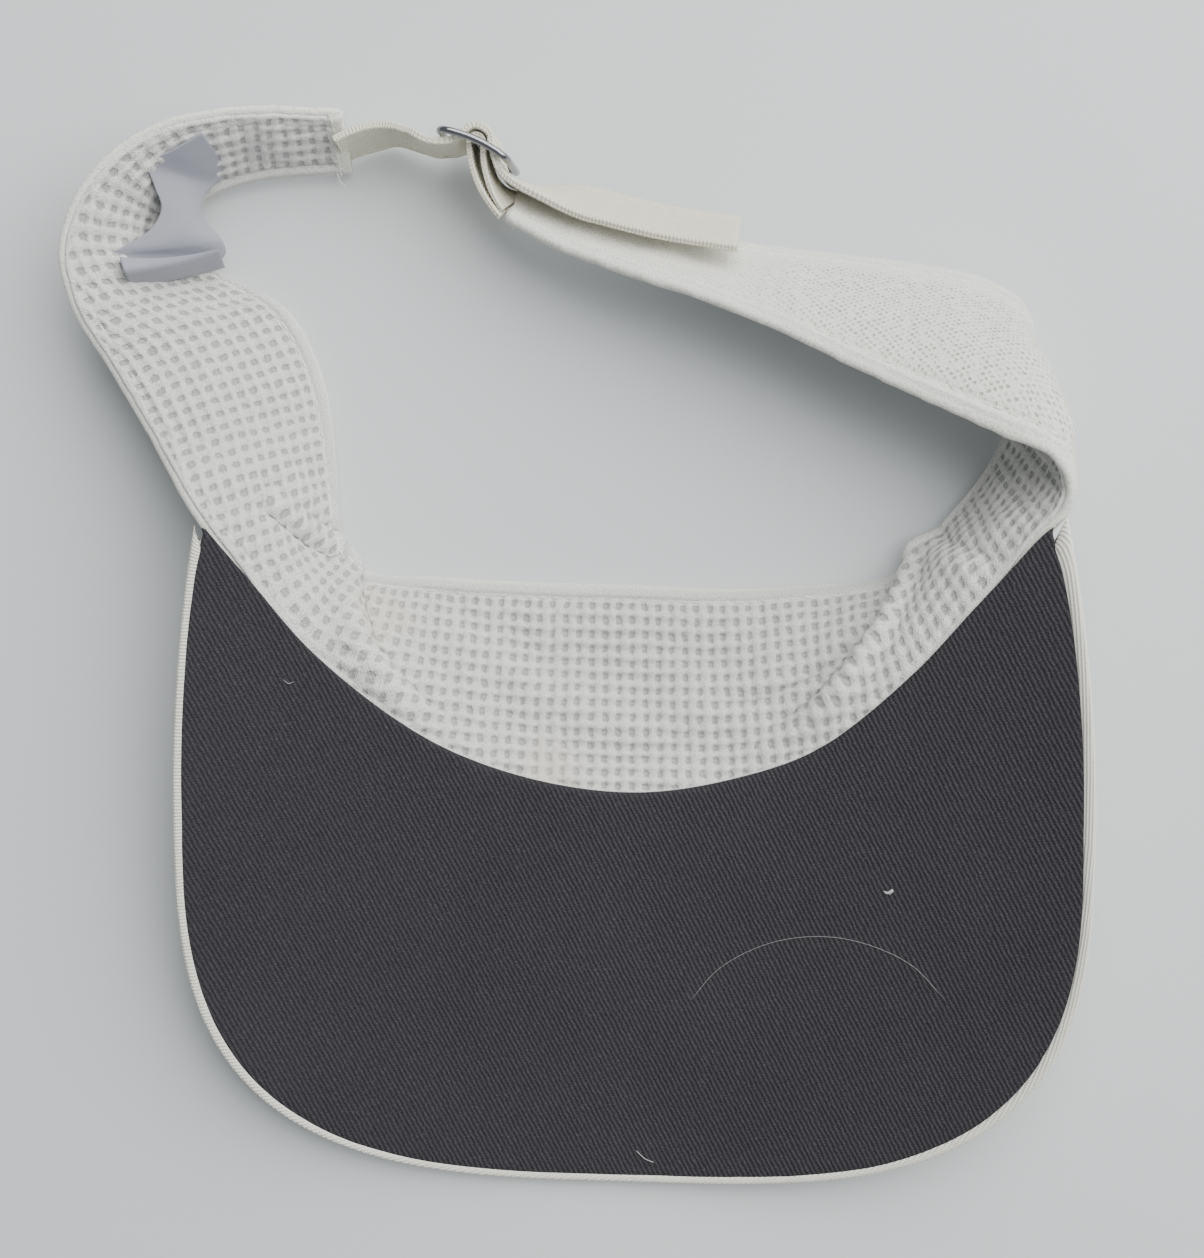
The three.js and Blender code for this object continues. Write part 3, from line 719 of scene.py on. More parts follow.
MAT_SATIN = satin_material()
MAT_THREAD = plain_material("sewing_thread", rgb(236, 235, 228), 0.85, sheen=0.2)
MAT_LINT = plain_material("lint", rgb(170, 168, 168), 0.9)

# ---- head band ----
CLOTH_LOW = -(STIFFENER_THICK / 2 + LAYER_GAP + CLOTH_THICK)
LINING_LOW = STIFFENER_THICK / 2 + LAYER_GAP
LINING_HIGH = LINING_LOW + CLOTH_THICK
TAB_LENGTH = 3.2


def front_share(length):
    """1 along the front panel, 0 along the arms."""
    rise = np.clip((length - length_at(LEFT_CORNER + 0.6)) / 8.0, 0, 1)
    return rise * np.clip((length_at(RIGHT_CORNER + 0.2) - length) / 8.0, 0, 1)


def lining_relief(a, c, width, h):
    """Puffy ribs of the waffle weave on the face side, flattened along the hems."""
    face = np.clip((h - LINING_LOW) / CLOTH_THICK, 0, 1) ** 2
    hem = np.clip(np.minimum(c - 0.4, width - 2.6 - c) / 1.2, 0, 1)
    ribs = 0.14 * np.cos(2 * np.pi * c / WAFFLE_ACROSS) + 0.16 * np.cos(2 * np.pi * a / WAFFLE_ALONG)
    slack = 0.12 * smooth_noise(a, c, 9, 21)
    groove = 0.75 * hump(width - c - 3.2, 0.5) + 0.35 * hump(c - 2.8, 0.5) * (1 - front_share(a))
    bead = 0.4 * hump(width - c - 1.9, 0.8)
    return face * (hem * (ribs + slack) + bead - groove)


def outer_profile(width, length):
    """Thin cloth with a rolled bead along both edges."""
    low, high = CLOTH_LOW, CLOTH_LOW + CLOTH_THICK
    bead = 1.08
    turn = np.linspace(-math.pi / 2, math.pi * 0.7, 10)
    centre = low + bead
    inset = 0.25
    right = [(width - inset + bead * math.cos(t), centre + bead * math.sin(t)) for t in turn]
    left = [(inset - bead * math.cos(t), centre + bead * math.sin(t)) for t in turn[::-1]]
    bottom = [(0.6 + (width - 1.2) * x, low) for x in close_at_ends(62)]
    top = [(x, high) for x in np.linspace(width - 1.6, 1.6, 8)]
    return np.array(bottom + right + top + left)


def outer_relief(a, c, width, h):
    """A seam groove and a cord along both edges on the outside, and uneven cloth on both sides."""
    groove = hump(width - c - 3.0, 0.55) + hump(c - 3.0, 0.55)
    cord = hump(width - c - 1.7, 0.7) + hump(c - 1.7, 0.7)
    outside = 0.1 * smooth_noise(a, c, 10, 31) + 0.55 * groove - 0.4 * cord
    return np.where(h < CLOTH_LOW + 0.05, outside, 0.06 * smooth_noise(a, c, 4, 33))


def make_band():
    def lining_profile(width, length):
        start = 0.3 - 0.8 * front_share(length)
        return sheet_profile(start, width - 0.35, LINING_LOW - 0.25, LINING_HIGH, 74)

    step = 0.78
    lining = band_loft("band_lining", TAB_LENGTH * 0.5, BAND_LENGTH - TAB_LENGTH * 0.7, step, lining_profile,
                       lining_relief, MAT_WAFFLE)
    outer = band_loft("band_outer", 0.4, BAND_LENGTH - 0.4, step, outer_profile, outer_relief, MAT_OUTER)

    def stiffener_profile(width, length):
        return sheet_profile(width / 8, width * 7 / 8, -STIFFENER_THICK / 2, STIFFENER_THICK / 2, 10, 1)

    stiffener = band_loft("front_interlining_felt", float(length_at(LEFT_CORNER + 2)),
                          float(length_at(RIGHT_CORNER - 2)), 3.0, stiffener_profile, None, MAT_FELT)
    for piece, slot, nodes in (
            (lining, "waffle_lining", ("left_side_lining", "front_lining", "right_side_lining")),
            (outer, "perforated_cloth", ("left_side_outer", "front_outer", "right_side_outer")),
            (stiffener, "interlining", ("front_interlining",))):
        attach(piece, "visor")
        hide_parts(*nodes)


def make_end_tab(name, from_length, to_length, node):
    """The bound end of the band: a wrapped strip a little thicker than the two cloths."""
    def profile(width, length):
        return sheet_profile(-0.35, width + 0.35, CLOTH_LOW - 0.12, LINING_HIGH + 0.16, 16, 5)

    def relief(a, c, width, h):
        bulge = np.sin(np.pi * np.clip((a - from_length) / (to_length - from_length), 0, 1)) ** 0.5
        return 0.18 * (bulge - 1) * np.sign(h) + 0.05 * smooth_noise(a, c, 4, 41)

    tab = band_loft(name, from_length, to_length, 0.5, profile, relief, MAT_OUTER)
    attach(tab, "visor")
    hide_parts(node)


# ---- brim ----
SEAM_CLEARANCE = 1.0
CORNER_CLEARANCE = 1.8
BRIM_WIDEST = 8.0
SEAM_START = LEFT_CORNER + 0.1
SEAM_END = RIGHT_CORNER + 0.4


def seam_point(u, under=0.0):
    row = SEAM_START + u * (SEAM_END - SEAM_START)
    clearance = SEAM_CLEARANCE + CORNER_CLEARANCE * (2 * u - 1) ** 2 - under
    at = spline(BRIM_EDGE, row)
    along = unit((spline(BRIM_EDGE, row + 0.02) - spline(BRIM_EDGE, row - 0.02))[..., :2])
    return np.stack([at[..., 0] + along[..., 1] * clearance, at[..., 1] - along[..., 0] * clearance], -1)


def outline_point(u):
    """The brim's outer edge: a side edge, the rounded front and the other side edge."""
    corner = 0.2
    front_half = BRIM_REACH - BRIM_WIDEST
    side = np.where(u < 0.5, -1.0, 1.0)
    rise = np.clip(1 - np.minimum(u, 1 - u) / corner, 0, 1)
    back_reach = np.where(side < 0, LEFT_SIDE_REACH, RIGHT_SIDE_REACH)
    inward = np.where(side < 0, LEFT_SIDE_INWARD, RIGHT_SIDE_INWARD) * rise ** 2
    angle = math.pi * (1 + np.clip((u - corner) / (1 - 2 * corner), 0, 1))
    power = 2 / BRIM_ROUNDNESS
    cosine, sine = np.cos(angle), np.sin(angle)
    x = np.where(rise > 0, side * (BRIM_HALF_WIDTH - inward),
                 BRIM_HALF_WIDTH * np.sign(cosine) * np.abs(cosine) ** power)
    y = np.where(rise > 0, back_reach * rise, front_half * np.sign(sine) * np.abs(sine) ** power)
    return np.stack([BRIM_MIDDLE_X + x, SEAM_MIDDLE_Y - BRIM_WIDEST + y - BRIM_SWAY * x], -1)


def brim_point(u, share, under=0.0):
    """Right corner (u = 0) to left corner, seam (0) to edge (1), so the normal points up."""
    inner, edge = seam_point(1 - u, under), outline_point(1 - u)
    at = inner + (edge - inner) * share[..., None]
    return np.concatenate([at, brim_height(at[..., 0], at[..., 1])[..., None]], -1)


def even_u(count):
    """Sections spaced evenly along the outer edge."""
    first = 0.006
    fine = np.linspace(first, 1 - first, 4000)
    travelled = travel(outline_point(1 - fine))
    return np.interp(np.linspace(0, travelled[-1], count), travelled, fine)


def brim_loft(name, count, section, material, relief, under=0.0):
    """section(room, wrap) gives (distance from the seam, height) pairs for a seam-to-edge distance."""
    u = even_u(count)
    room = np.linalg.norm(outline_point(1 - u) - seam_point(1 - u, under), axis=-1)
    profile = np.stack([section(r, edge_wrap(k)) for r, k in zip(room, u)])
    share = profile[..., 0] / room[:, None]
    grid = columns(u, share.shape[1])

    def surface(a, b):
        return brim_point(a, b, under)

    points = surface(grid, share)
    normal = normals(surface, grid, share, 0.002, 0.004)
    height = profile[..., 1] + relief(points, profile)
    uv = np.stack([columns(np.arange(count) * 0.8, share.shape[1]), profile[..., 0]], -1)
    return loft(name, points + normal * height[..., None], uv, material)


BRIM_LOW = -(BOARD_THICK / 2 + LAYER_GAP + COVER_THICK)
BRIM_HIGH = -BRIM_LOW


def edge_wrap(u):
    """Width of the cover folded over the edge: broad at the right side, narrow at the front."""
    return float(np.interp(u, [0, 0.2, 0.42, 0.6, 0.8, 1], [3.7, 3.9, 1.9, 1.8, 2.7, 2.5]))


def make_brim():
    count = 460

    def cover_section(room, wrap):
        lip = room - min(wrap, 0.7 * room)
        thin = min(1.0, (room - lip) / EDGE_WRAP)
        low, top = BRIM_LOW, BRIM_HIGH + 0.1
        middle, half = (low + top) / 2, (top - low) / 2
        outside = [(room - 0.5 * thin + 0.5 * thin * math.cos(t), middle + half * math.sin(t))
                   for t in np.linspace(-math.pi / 2 + 0.25, math.pi / 2 - 0.25, 9)]
        crown = [(room - 1.0 * thin, top), (room - 1.6 * thin, top - 0.03), (lip + 0.25 * thin, top - 0.12)]
        inner = [(lip, top - 0.4), (lip, low + COVER_THICK)]
        bottom = [(x, low) for x in np.linspace(0, room - 0.9 * thin, 24)]
        back = [(x, low + COVER_THICK) for x in np.linspace(lip - 0.5 * thin, 0, 8)]
        return np.array(bottom + outside + crown + inner + back)

    def cover_relief(points, profile):
        return 0.05 * smooth_noise(points[..., 0], points[..., 1], 5, 51)

    def under_section(room, wrap):
        edge = room - min(wrap - 0.35, 0.62 * room)
        low, high = BRIM_HIGH - COVER_THICK, BRIM_HIGH - 0.05
        top = [(x, high) for x in np.linspace(edge - 0.5, 0, 60)]
        bottom = [(x, low) for x in np.linspace(0, edge - 0.3, 10)]
        rim = [(edge, low + 0.2), (edge - 0.05, high - 0.3), (edge - 0.22, high - 0.1)]
        return np.array(bottom + rim + top)

    def under_relief(points, profile):
        x, y = points[..., 0], points[..., 1]
        upper = profile[..., 1] > BRIM_HIGH - COVER_THICK / 2
        return np.where(upper, 0.09 * smooth_noise(x, y, 34, 61) + 0.035 * smooth_noise(x, y, 12, 62), 0)

    u, share = np.meshgrid(np.linspace(0, 1, 120), np.linspace(0, 1, 30), indexing="ij")
    area = surface_area(brim_point(u, share))
    cover = brim_loft("brim_cover", count, cover_section, MAT_TWILL, cover_relief)
    under = brim_loft("brim_underside", count, under_section, MAT_CHARCOAL, under_relief, under=2.4)
    for piece, node, slot in ((cover, "brim_top_cover", "off_white_twill"),
                              (under, "brim_under_cover", "charcoal_twill")):
        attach(piece, "visor")
        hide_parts(node)
    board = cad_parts["brim_board"]
    board.data.materials.clear()
    board.data.materials.append(MAT_BOARD)


# ---- closure ----
BUCKLE_CENTRE = np.array([-26.4, 104.6, 12.4])
BUCKLE_ALONG = unit(np.array([0.917, -0.4, 0.0]))
BUCKLE_UP = unit(np.array([-0.1, -0.04, 1.0]))
BUCKLE_OUT = unit(np.cross(BUCKLE_UP, BUCKLE_ALONG))
OVER_REACH = WIRE_RADIUS + LAYER_GAP + LOOP_THICK + LAYER_GAP + STRAP_THICK / 2 + 0.1
UNDER_REACH = BUCKLE_BOW + WIRE_RADIUS + 1.4 + STRAP_THICK / 2


def weave_point(p, q):
    return BUCKLE_CENTRE + BUCKLE_ALONG * p + BUCKLE_OUT * q


def tape_loft(name, centres, ups, width, thick, steps, ridge):
    """A tape through centre points, standing along the given up directions, with soft doubled edges."""
    at = np.linspace(0, len(centres) - 1, steps)
    middle = spline(centres, at)
    up = unit(spline(ups, at))
    along = unit(np.gradient(middle, axis=0))
    out = unit(np.cross(along, up))
    up = unit(np.cross(out, along))
    travelled = travel(middle)
    half, thin = width / 2, thick / 2
    c = np.linspace(-half + 0.35, half - 0.35, 24)
    inset = half - np.abs(c)
    pad = thin * (1 + 0.16 * hump(inset - 0.7, 0.5) - ridge * hump(inset - 1.9, 0.35))
    edge = [(half - 0.08, thin * 0.78), (half, thin * 0.42), (half - 0.22, 0.0), (half, -thin * 0.42),
            (half - 0.08, -thin * 0.78)]
    section = np.array([*zip(c, pad), *edge, *zip(c[::-1], -pad[::-1]), *[(-x, -y) for x, y in edge]])
    cc, hh = section[None, :, 0], section[None, :, 1]
    lift = hh * (1 + 0.05 * smooth_noise(travelled[:, None], cc, 5, 71))
    rings = middle[:, None] + up[:, None] * cc[..., None] + out[:, None] * lift[..., None]
    uv = np.stack(np.broadcast_arrays(travelled[:, None], cc), -1)
    return loft(name, rings, uv, MAT_TAPE), (middle, up, out, travelled)


def strap_route():
    """Centre points and up directions of the strap: band end, over the middle bar, then the tail."""
    sewn = [(-57.5, 104.9, 9.2), (-54.9, 106.2, 9.2), (-50.5, 107.6, 9.2), (-45.6, 108.2, 9.4),
            (-40.6, 106.6, 10.4)]
    wire, over, under = BUCKLE_HALF_LENGTH, OVER_REACH, -UNDER_REACH
    weave = [(-wire - 0.4, under + 0.3), (-wire * 0.6, under * 0.42), (-over * 0.96, over * 0.36),
             (-over * 0.6, over * 0.84), (0, over), (over * 0.66, over * 0.8), (over * 1.02, over * 0.3),
             (wire * 0.66, under * 0.4), (wire * 0.98, under * 0.96)]
    tail = [(-12.6, 94.6, 14.4), (-1.6, 91.6, 14.8), (13.6, 87.8, 15.2), (29.6, 85.2, 15.4)]
    lean = unit(np.array([-0.2, -0.6, 0.78]))
    upright = unit(np.array([0.0, 0.1, 1.0]))
    ups = [upright] * 3 + [unit(upright * 0.5 + BUCKLE_UP * 0.5)] * 2 + [BUCKLE_UP] * len(weave)
    ups += [unit(BUCKLE_UP * 0.5 + lean * 0.5), lean, lean, lean]
    return np.array(sewn + [weave_point(p, q) for p, q in weave] + tail), np.array(ups)


def make_strap():
    centres, ups = strap_route()
    strap, route = tape_loft("strap", centres, ups, STRAP_WIDTH, STRAP_THICK, 260, ridge=0.5)
    start = to_row(weave_point(BUCKLE_HALF_LENGTH + 2.0, -UNDER_REACH))
    end = to_row(centres[-3])
    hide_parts("adjuster_strap", "strap_tail")
    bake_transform(strap)
    return route


def stadium(share, reach, radius, end_gap):
    """Half a stadium round the bar: distance towards the band's end, and offset from the middle line."""
    arc = math.pi * radius
    travelled = share * (2 * reach + arc)
    if travelled < reach:
        left = 1 - travelled / reach
        return left * reach, radius + (end_gap - radius) * left
    if travelled > reach + arc:
        left = (travelled - reach - arc) / reach
        return left * reach, -(radius + (end_gap - radius) * left)
    angle = math.pi / 2 + (travelled - reach) / radius
    return radius * math.cos(angle), radius * math.sin(angle)


def leg_point(bar, bend, end, t):
    return (1 - t) ** 2 * bar + 2 * t * (1 - t) * bend + t * t * end


def make_anchor_loop():
    """A tape folded round the middle bar, both ends sewn into the band's right end."""
    radius = WIRE_RADIUS + LAYER_GAP + LOOP_THICK / 2 + 0.05
    end_gap = LOOP_THICK / 2 + 0.2
    edges = []
    for sign, share in ((1, 0.04), (-1, 0.96)):
        bar = BUCKLE_CENTRE + BUCKLE_UP * (sign * LOOP_WIDTH / 2)
        end = band_point(np.array(float(LAST_ROW)), np.array(share))
        bend = bar + np.array([-0.4, -8.0, 0.0])
        reach = float(np.linalg.norm(end - bar)) * 1.04
        line = []
        for k in range(90):
            d, m = stadium(k / 89, reach, radius, end_gap)
            t = min(max(d, 0) / reach, 1.0)
            along = unit(leg_point(bar, bend, end, t + 0.01) - leg_point(bar, bend, end, t - 0.01))
            side = unit(np.cross(BUCKLE_UP, along))
            line.append(leg_point(bar, bend, end, t) + along * min(d, 0) + side * m)
        edges.append(np.array(line))
    top, bottom = edges
    middle, ups = (top + bottom) / 2, unit(top - bottom)
    loop, _ = tape_loft("anchor_tape", middle, ups, LOOP_WIDTH, LOOP_THICK, 220, ridge=0.4)
    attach(loop, "visor")
    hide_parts("anchor_loop")


def tube_rings(path, radius, sides, closed, up=(0.0, 0.0, 1.0)):
    along = unit(np.roll(path, -1, 0) - np.roll(path, 1, 0)) if closed else unit(np.gradient(path, axis=0))
    side = unit(np.cross(along, up))
    lift = unit(np.cross(side, along))
    turn = np.linspace(0, 2 * math.pi, sides, endpoint=False)
    ring = side[:, None] * np.cos(turn)[None, :, None] + lift[:, None] * np.sin(turn)[None, :, None]
    rings = path[:, None] + ring * np.broadcast_to(radius, (len(path),))[:, None, None]
    uv = np.stack(np.broadcast_arrays(np.arange(len(path))[:, None], turn[None, :]), -1).astype(float)
    return rings, uv


def make_buckle():
    """Rounded wire frame bowed along its length, and the middle bar."""
    corner = 2.4
    path = []
    for sign_p, sign_h, start in ((1, 1, 0), (-1, 1, 90), (-1, -1, 180), (1, -1, 270)):
        for k in range(8):
            angle = math.radians(start + k * 90 / 7)
            p = sign_p * (BUCKLE_HALF_LENGTH - corner) + corner * math.cos(angle)
            height = sign_h * (BUCKLE_HALF_HEIGHT - corner) + corner * math.sin(angle)
            path.append((p, height))
        if sign_p == sign_h:
            path += [(sign_h * p, sign_h * BUCKLE_HALF_HEIGHT) for p in (3.6, 1.8, 0.0, -1.8, -3.6)]
    points = np.array([weave_point(p, -BUCKLE_BOW * (p / BUCKLE_HALF_LENGTH) ** 2) + BUCKLE_UP * height
                       for p, height in path])
    closed = np.vstack([points[-2:], points, points[:3]])
    path = spline(closed, np.linspace(2, len(points) + 2, 220, endpoint=False))
    rings, uv = tube_rings(path, WIRE_RADIUS * 1.15, 16, True, up=BUCKLE_OUT)
    wire = loft("wire_frame", rings, uv, MAT_CHROME, closed=True)
    heights = np.linspace(-1, 1, 9) * (BUCKLE_HALF_HEIGHT - 0.1)
    bar = BUCKLE_CENTRE + np.outer(heights, BUCKLE_UP)
    rings, uv = tube_rings(bar, WIRE_RADIUS, 16, False, up=BUCKLE_OUT)
    middle = loft("wire_bar", rings, uv, MAT_CHROME)
    for piece in (wire, middle):
        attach(piece, "slide_buckle")
    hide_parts("slide_buckle")


# ---- labels ----
LABEL_OUTER = [(-85.2, 105.8, 20.0), (-91.0, 103.0, 19.4), (-97.3, 99.6, 18.2), (-96.2, 95.6, 17.0),
               (-94.6, 91.0, 16.0), (-96.8, 86.4, 15.8), (-102.8, 82.4, 16.6), (-108.6, 79.6, 17.6),
               (-108.2, 74.9, 17.4)]
LABEL_INNER = [(-81.9, 100.8, 5.4), (-83.4, 99.4, 6.4), (-85.5, 97.2, 7.6), (-87.3, 94.6, 8.6),
               (-87.8, 91.2, 9.0), (-86.0, 87.9, 8.6), (-83.4, 85.2, 7.6), (-82.9, 82.9, 6.4),
               (-85.2, 80.0, 5.6)]
LABEL_THICK = 0.16


def label_sheet(name, outer, inner, sag, steps, across_steps, size, material):
    """A thin label between two given edges, with a soft bow between them."""
    u = np.linspace(0, 1, steps)
    v = np.linspace(0, 1, across_steps)[None, :, None]
    far = spline(outer, u * (len(outer) - 1))[:, None]
    near = spline(inner, u * (len(inner) - 1))[:, None]
    surface = far + (near - far) * v
    normal = unit(np.cross(np.gradient(surface, axis=0), np.gradient(surface, axis=1)))
    surface = surface + normal * (sag(u[:, None], v[..., 0]))[..., None]
    area = surface_area(surface)
    rings = np.concatenate([surface - normal * LABEL_THICK, (surface + normal * LABEL_THICK)[:, ::-1]], 1)
    a = np.repeat(u[:, None] * size[0], rings.shape[1], 1)
    c = np.concatenate([v[..., 0], v[:, ::-1, 0]], 1) * np.full((steps, 1), size[1])
    return loft(name, rings, np.stack([a, c], -1), material), area


def make_main_label():
    """Blank satin label bridging the curve of the left arm, narrow at its waist."""
    def sag(u, v):
        return 0.9 * np.sin(math.pi * v) * (0.3 + np.sin(math.pi * u)) + 0.4 * np.sin(3 * math.pi * u + 2 * v)

    label, area = label_sheet("satin_label", LABEL_OUTER, LABEL_INNER, sag, 96, 34, (34.0, 15.0), MAT_SATIN)
    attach(label, "visor")
    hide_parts("main_label")


def make_care_label():
    """A narrow strip folded in half; both leaves stand on the lining and the fold faces up."""
    length = 40
    t = np.linspace(0, 1, length)
    base = np.array([-102.6, 75.8, 13.7]) + np.outer(t, np.array([19.4, 4.3, -7.4]))
    base = base + np.outer(np.sin(math.pi * t) * 0.7, np.array([0.2, -1.0, 0.0]))
    rise = unit(np.array([0.02, 0.32, 0.95]))
    across = unit(base[-1] - base[0])
    out = unit(np.cross(across, rise))
    spread = 0.55 + 1.5 * (1 - t) ** 1.5
    thick, height = 0.17, 6.9
    outline = [(-1.0, 0.0), (-1.0, 0.45), (-1.05, 0.8), (-0.75, 0.95), (0.0, 1.0), (0.75, 0.95), (1.05, 0.8),
               (1.0, 0.45), (1.0, 0.0)]
    shape = spline([(x, y, 0) for x, y in outline], np.linspace(0, len(outline) - 1, 33))[:, :2]
    rings = []
    for k in range(length):
        outside = [(x * spread[k], y * height) for x, y in shape]
        inside = [(math.copysign(max(abs(x) * spread[k] - thick, 0.01), x), min(y * height, height - thick))
                  for x, y in shape[::-1]]
        rings.append([base[k] + out * x + rise * y for x, y in outside + inside])
    rings = np.array(rings)
    uv = np.stack(np.broadcast_arrays(t[:, None] * 22, np.linspace(0, 30, rings.shape[1])[None, :]), -1)
    label = loft("care_strip", rings, uv, MAT_SATIN)
    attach(label, "care_label")
    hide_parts("care_label")


# ---- stitches, by geometry nodes ----


def stitch_tree():
    """Resamples a line and lays one rounded stitch at each point, turned along the line."""
    group, t, given, result = new_group(
        "stitch_row",
        [("Geometry", "Geometry", None), ("Spacing", "Float", 0.003), ("Stitch Length", "Float", 0.0022),
         ("Thread Radius", "Float", 0.0002), ("Wander", "Float", 0.1), ("Seed", "Int", 3),
         ("Thread", "Material", None)],
        ["Geometry"], "GeometryNodeTree", "Geometry")

    def node(kind, settings=(), **inputs):
        return t.feed_all(t.add(kind, **dict(settings)), **inputs).outputs[0]

    line = node("GeometryNodeMeshToCurve", Mesh=given["Geometry"])
    points = node("GeometryNodeResampleCurve", {"mode": "LENGTH"}, Curve=line, Length=given["Spacing"])
    ball = node("GeometryNodeMeshUVSphere", Segments=6, Rings=5, Radius=1.0)
    aim = node("FunctionNodeAlignRotationToVector", {"axis": "Z"}, Vector=node("GeometryNodeInputTangent"))
    least, most = (t.join(*[given["Wander"] * sign] * 3) for sign in (-1.0, 1.0))
    shake = node("FunctionNodeRandomValue", {"data_type": "FLOAT_VECTOR"}, Min=least, Max=most,
                 Seed=given["Seed"])
    turn = node("FunctionNodeRotateRotation", {"rotation_space": "LOCAL"}, Rotation=aim, Rotate_By=shake)
    size = t.join(given["Thread Radius"], given["Thread Radius"], given["Stitch Length"] * 0.5)
    laid = node("GeometryNodeInstanceOnPoints", Points=points, Instance=ball, Rotation=turn, Scale=size)
    real = node("GeometryNodeRealizeInstances", Geometry=laid)
    t.feed(result[0], node("GeometryNodeSetMaterial", Geometry=real, Material=given["Thread"]))
    return group


STITCHES = stitch_tree()


def sew(name, lines, spacing, length, radius, body="visor", seed=3):
    """One object of stitches along several lines of points, in mm."""
    points, edges = [], []
    for line in lines:
        first = len(points)
        points += [tuple(p) for p in to_row(line)]
        edges += [(k, k + 1) for k in range(first, len(points) - 1)]
    guide_mesh = bpy.data.meshes.new(name + "_guide")
    guide_mesh.from_pydata(points, edges, [])
    guide = add_object(name + "_guide", guide_mesh)
    modifier = guide.modifiers.new("stitches", "NODES")
    modifier.node_group = STITCHES
    values = {"Spacing": spacing * MM, "Stitch Length": length * MM, "Thread Radius": radius * MM,
              "Wander": 0.12, "Seed": seed, "Thread": MAT_THREAD}
    for item in STITCHES.interface.items_tree:
        if item.in_out == "INPUT" and item.name in values:
            modifier[item.identifier] = values[item.name]
    bpy.context.view_layer.update()
    graph = bpy.context.evaluated_depsgraph_get()
    mesh = bpy.data.meshes.new_from_object(guide.evaluated_get(graph), depsgraph=graph)
    bpy.data.objects.remove(guide)
    mesh.name = name
    mesh.polygons.foreach_set("use_smooth", [True] * len(mesh.polygons))
    if not mesh.materials:
        mesh.materials.append(MAT_THREAD)
    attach(add_object(name, mesh), body)


def over_band(rows, share, height):
    """Points at a height over the band's middle layer."""
    return band_point(rows, share) + normals(band_point, rows, share, 0.03, 0.02) * height


def hem_lines(inset_crown, inset_brim, height):
    """Two lines on the band, at a distance from its crown edge and from its brim edge."""
    rows = row_at(np.arange(TAB_LENGTH, BAND_LENGTH - TAB_LENGTH, 1.5))
    width = width_at(rows)
    return [over_band(rows, share, height) for share in (1 - inset_crown / width, inset_brim / width)]


def make_stitches():
    sew("hem_stitches", hem_lines(3.0, 2.6, LINING_HIGH - 0.5), 3.1, 2.4, 0.2)
    sew("outer_stitches", hem_lines(3.0, 3.0, CLOTH_LOW + 0.4), 3.1, 2.4, 0.2, seed=9)
    tabs = [over_band(np.full(24, float(row_at(at))), np.linspace(0.06, 0.94, 24), LINING_HIGH + 0.2)
            for at in (TAB_LENGTH * 0.75, BAND_LENGTH - TAB_LENGTH * 0.75)]
    sew("tab_stitches", tabs, 2.2, 1.7, 0.18, seed=5)


def make_strap_stitches(route):
    """Stitch rows near both edges of the strap, on both faces; the free tail takes its own with it."""
    middle, up, out, travelled = route
    total = travelled[-1]
    for name, body, start, stop in (("strap_stitches", "visor", 0.02, 0.3),
                                    ("tail_stitches", "strap_tail", 0.56, 0.985)):
        pick = (travelled > start * total) & (travelled < stop * total)
        lines = [(middle + up * edge * (STRAP_WIDTH / 2 - 1.9) + out * side * (STRAP_THICK / 2 - 0.28))[pick]
                 for edge in (-1, 1) for side in (-1, 1)]
        sew(name, lines, 2.4, 1.9, 0.13, body, seed=13)


def hair(name, points, radius, steps, material):
    """A loose fibre or thread end through given points."""
    path = spline(np.array(points, float), np.linspace(0, len(points) - 1, steps))
    thickness = radius * np.clip(np.minimum(np.arange(steps), np.arange(steps)[::-1]) / 4.0, 0.25, 1.0)
    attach(loft(name, *tube_rings(path, thickness, 6, False), material), "visor")


def on_brim(x, y, lift=0.25):
    return (x, y, float(brim_height(x, y)) + BRIM_HIGH + lift)


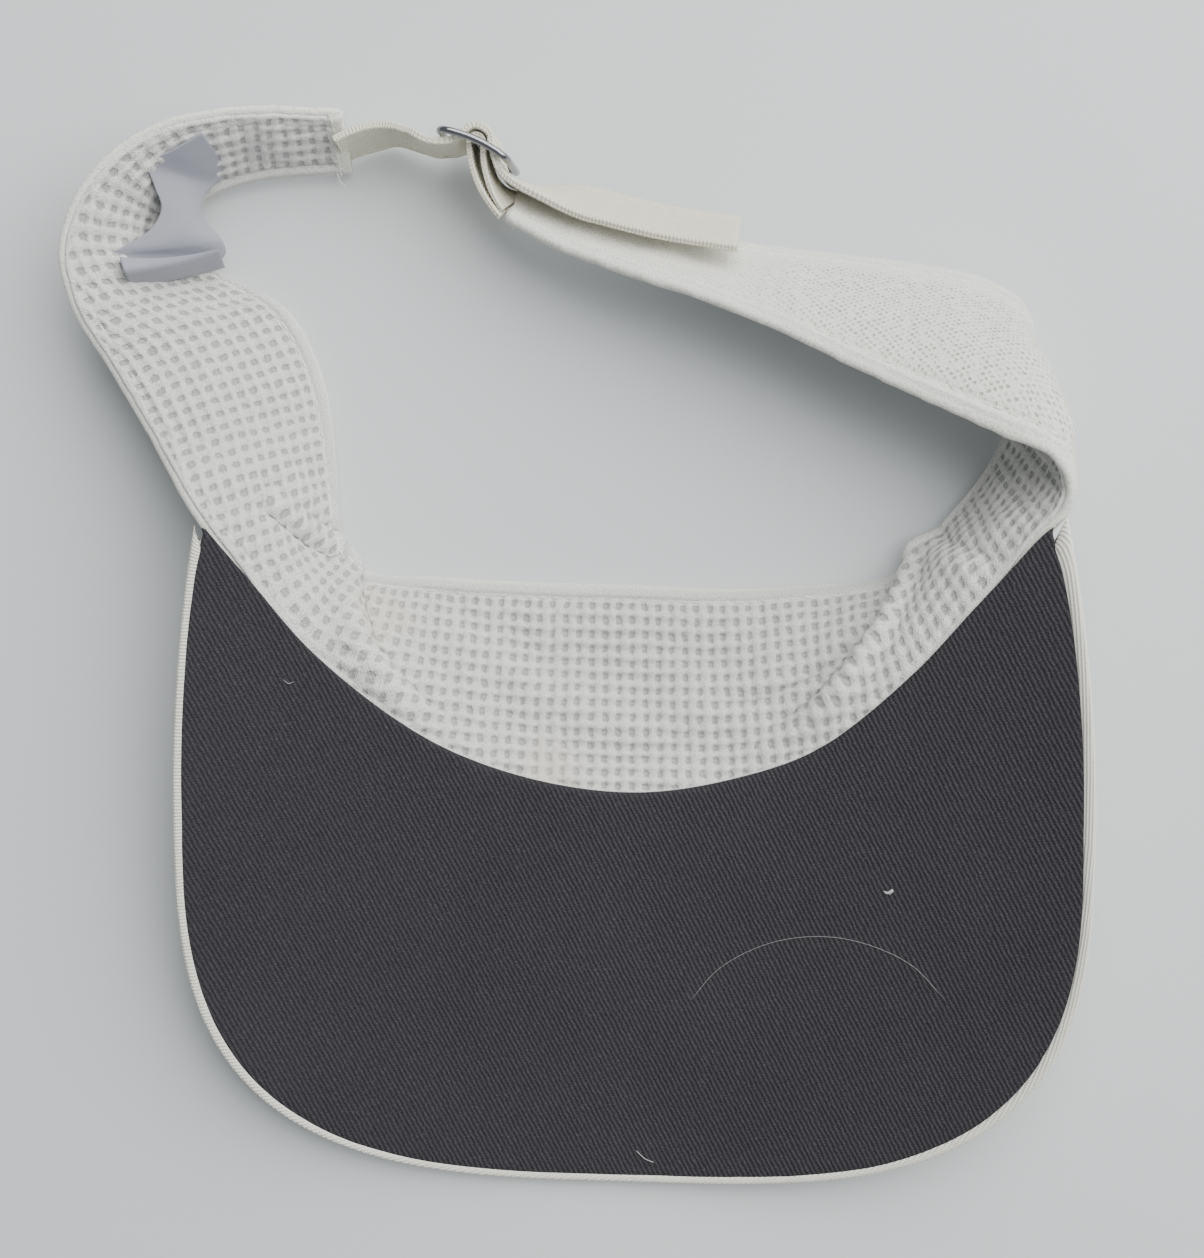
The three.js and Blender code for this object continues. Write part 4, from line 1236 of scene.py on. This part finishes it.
def make_loose_fibres():
    for name, radius, steps, places in (
            ("brim_fibre_long", 0.035, 60,
             [(19, -82), (26, -74), (38, -68), (52, -67), (66, -72), (74, -80)]),
            ("brim_fibre_short", 0.09, 60, [(7.5, -115.5, 0.2), (9.5, -117.3, 0.5), (11.5, -118.2, 0.3)]),
            ("brim_speck", 0.3, 24,
             [(60.5, -56.4, 0.1), (61.4, -56.8, 0.3), (62.4, -56.2, 0.1), (61.8, -57.2, 0.2)]),
            ("lint_dark", 0.06, 20, [(-68.0, -10.6, 0.2), (-66.8, -11.6, 0.3), (-65.6, -11.2, 0.1)])):
        hair(name, [on_brim(*place) for place in places], radius, steps, MAT_LINT)
    end = band_point(np.array(0.15), np.array(0.98))
    hair("loose_thread", end + [(0, 0, 1.0), (0.9, -1.6, 1.6), (1.2, -2.6, 1.0), (2.4, -3.4, 0.4)], 0.12, 30,
         MAT_THREAD)


def make_stage():
    """Pale floor, one broad soft light from behind and above, and a pale surround."""
    size = 3.0
    mesh = bpy.data.meshes.new("floor")
    corners = [(-size, -size, 0), (size, -size, 0), (size, size, 0), (-size, size, 0)]
    mesh.from_pydata(corners, [], [(0, 1, 2, 3)])
    material, t, shader = cloth_material("floor_paint", 0.62, 0.0)
    place = object_mm(t)
    tone = t.mix(t.noise(place, 0.006, 2.0), rgb(202, 206, 208), rgb(210, 213, 214))
    t.feed_all(shader, Specular_IOR_Level=0.3,
               Base_Color=t.mix(t.noise(place, 0.06, 5.0, 0.7) * 0.12, tone, rgb(198, 202, 203)))
    mesh.materials.append(material)
    floor = add_object("floor", mesh)
    floor.location.z = -0.00005

    lamp = bpy.data.lights.new("window", "AREA")
    lamp.shape = "RECTANGLE"
    lamp.size, lamp.size_y = 1.7, 1.4
    lamp.energy = 34.0
    window = add_object("window", lamp)
    window.location = (0.5, 0.5, 0.8)
    window.rotation_euler = (-window.location).to_track_quat("-Z", "Y").to_euler()

    world = bpy.data.worlds.new("surround")
    world.use_nodes = True
    background = world.node_tree.nodes["Background"]
    background.inputs["Color"].default_value = (0.93, 0.97, 1.0, 1.0)
    background.inputs["Strength"].default_value = 0.36
    bpy.context.scene.world = world

    camera = bpy.data.cameras.new("camera")
    camera.lens = 53.7
    camera.sensor_width = 36.0
    eye = add_object("camera", camera)
    eye.location = (LAY[0] * MM, LAY[1] * MM, 0.42)
    bpy.context.scene.camera = eye


make_stage()
make_brim()
make_band()
make_end_tab("left_bound_end", 0.0, TAB_LENGTH, "left_end_tab")
make_end_tab("right_bound_end", BAND_LENGTH - TAB_LENGTH, BAND_LENGTH, "right_end_tab")
strap_line = make_strap()
make_anchor_loop()
make_buckle()
make_main_label()
make_care_label()
make_stitches()
make_strap_stitches(strap_line)
make_loose_fibres()
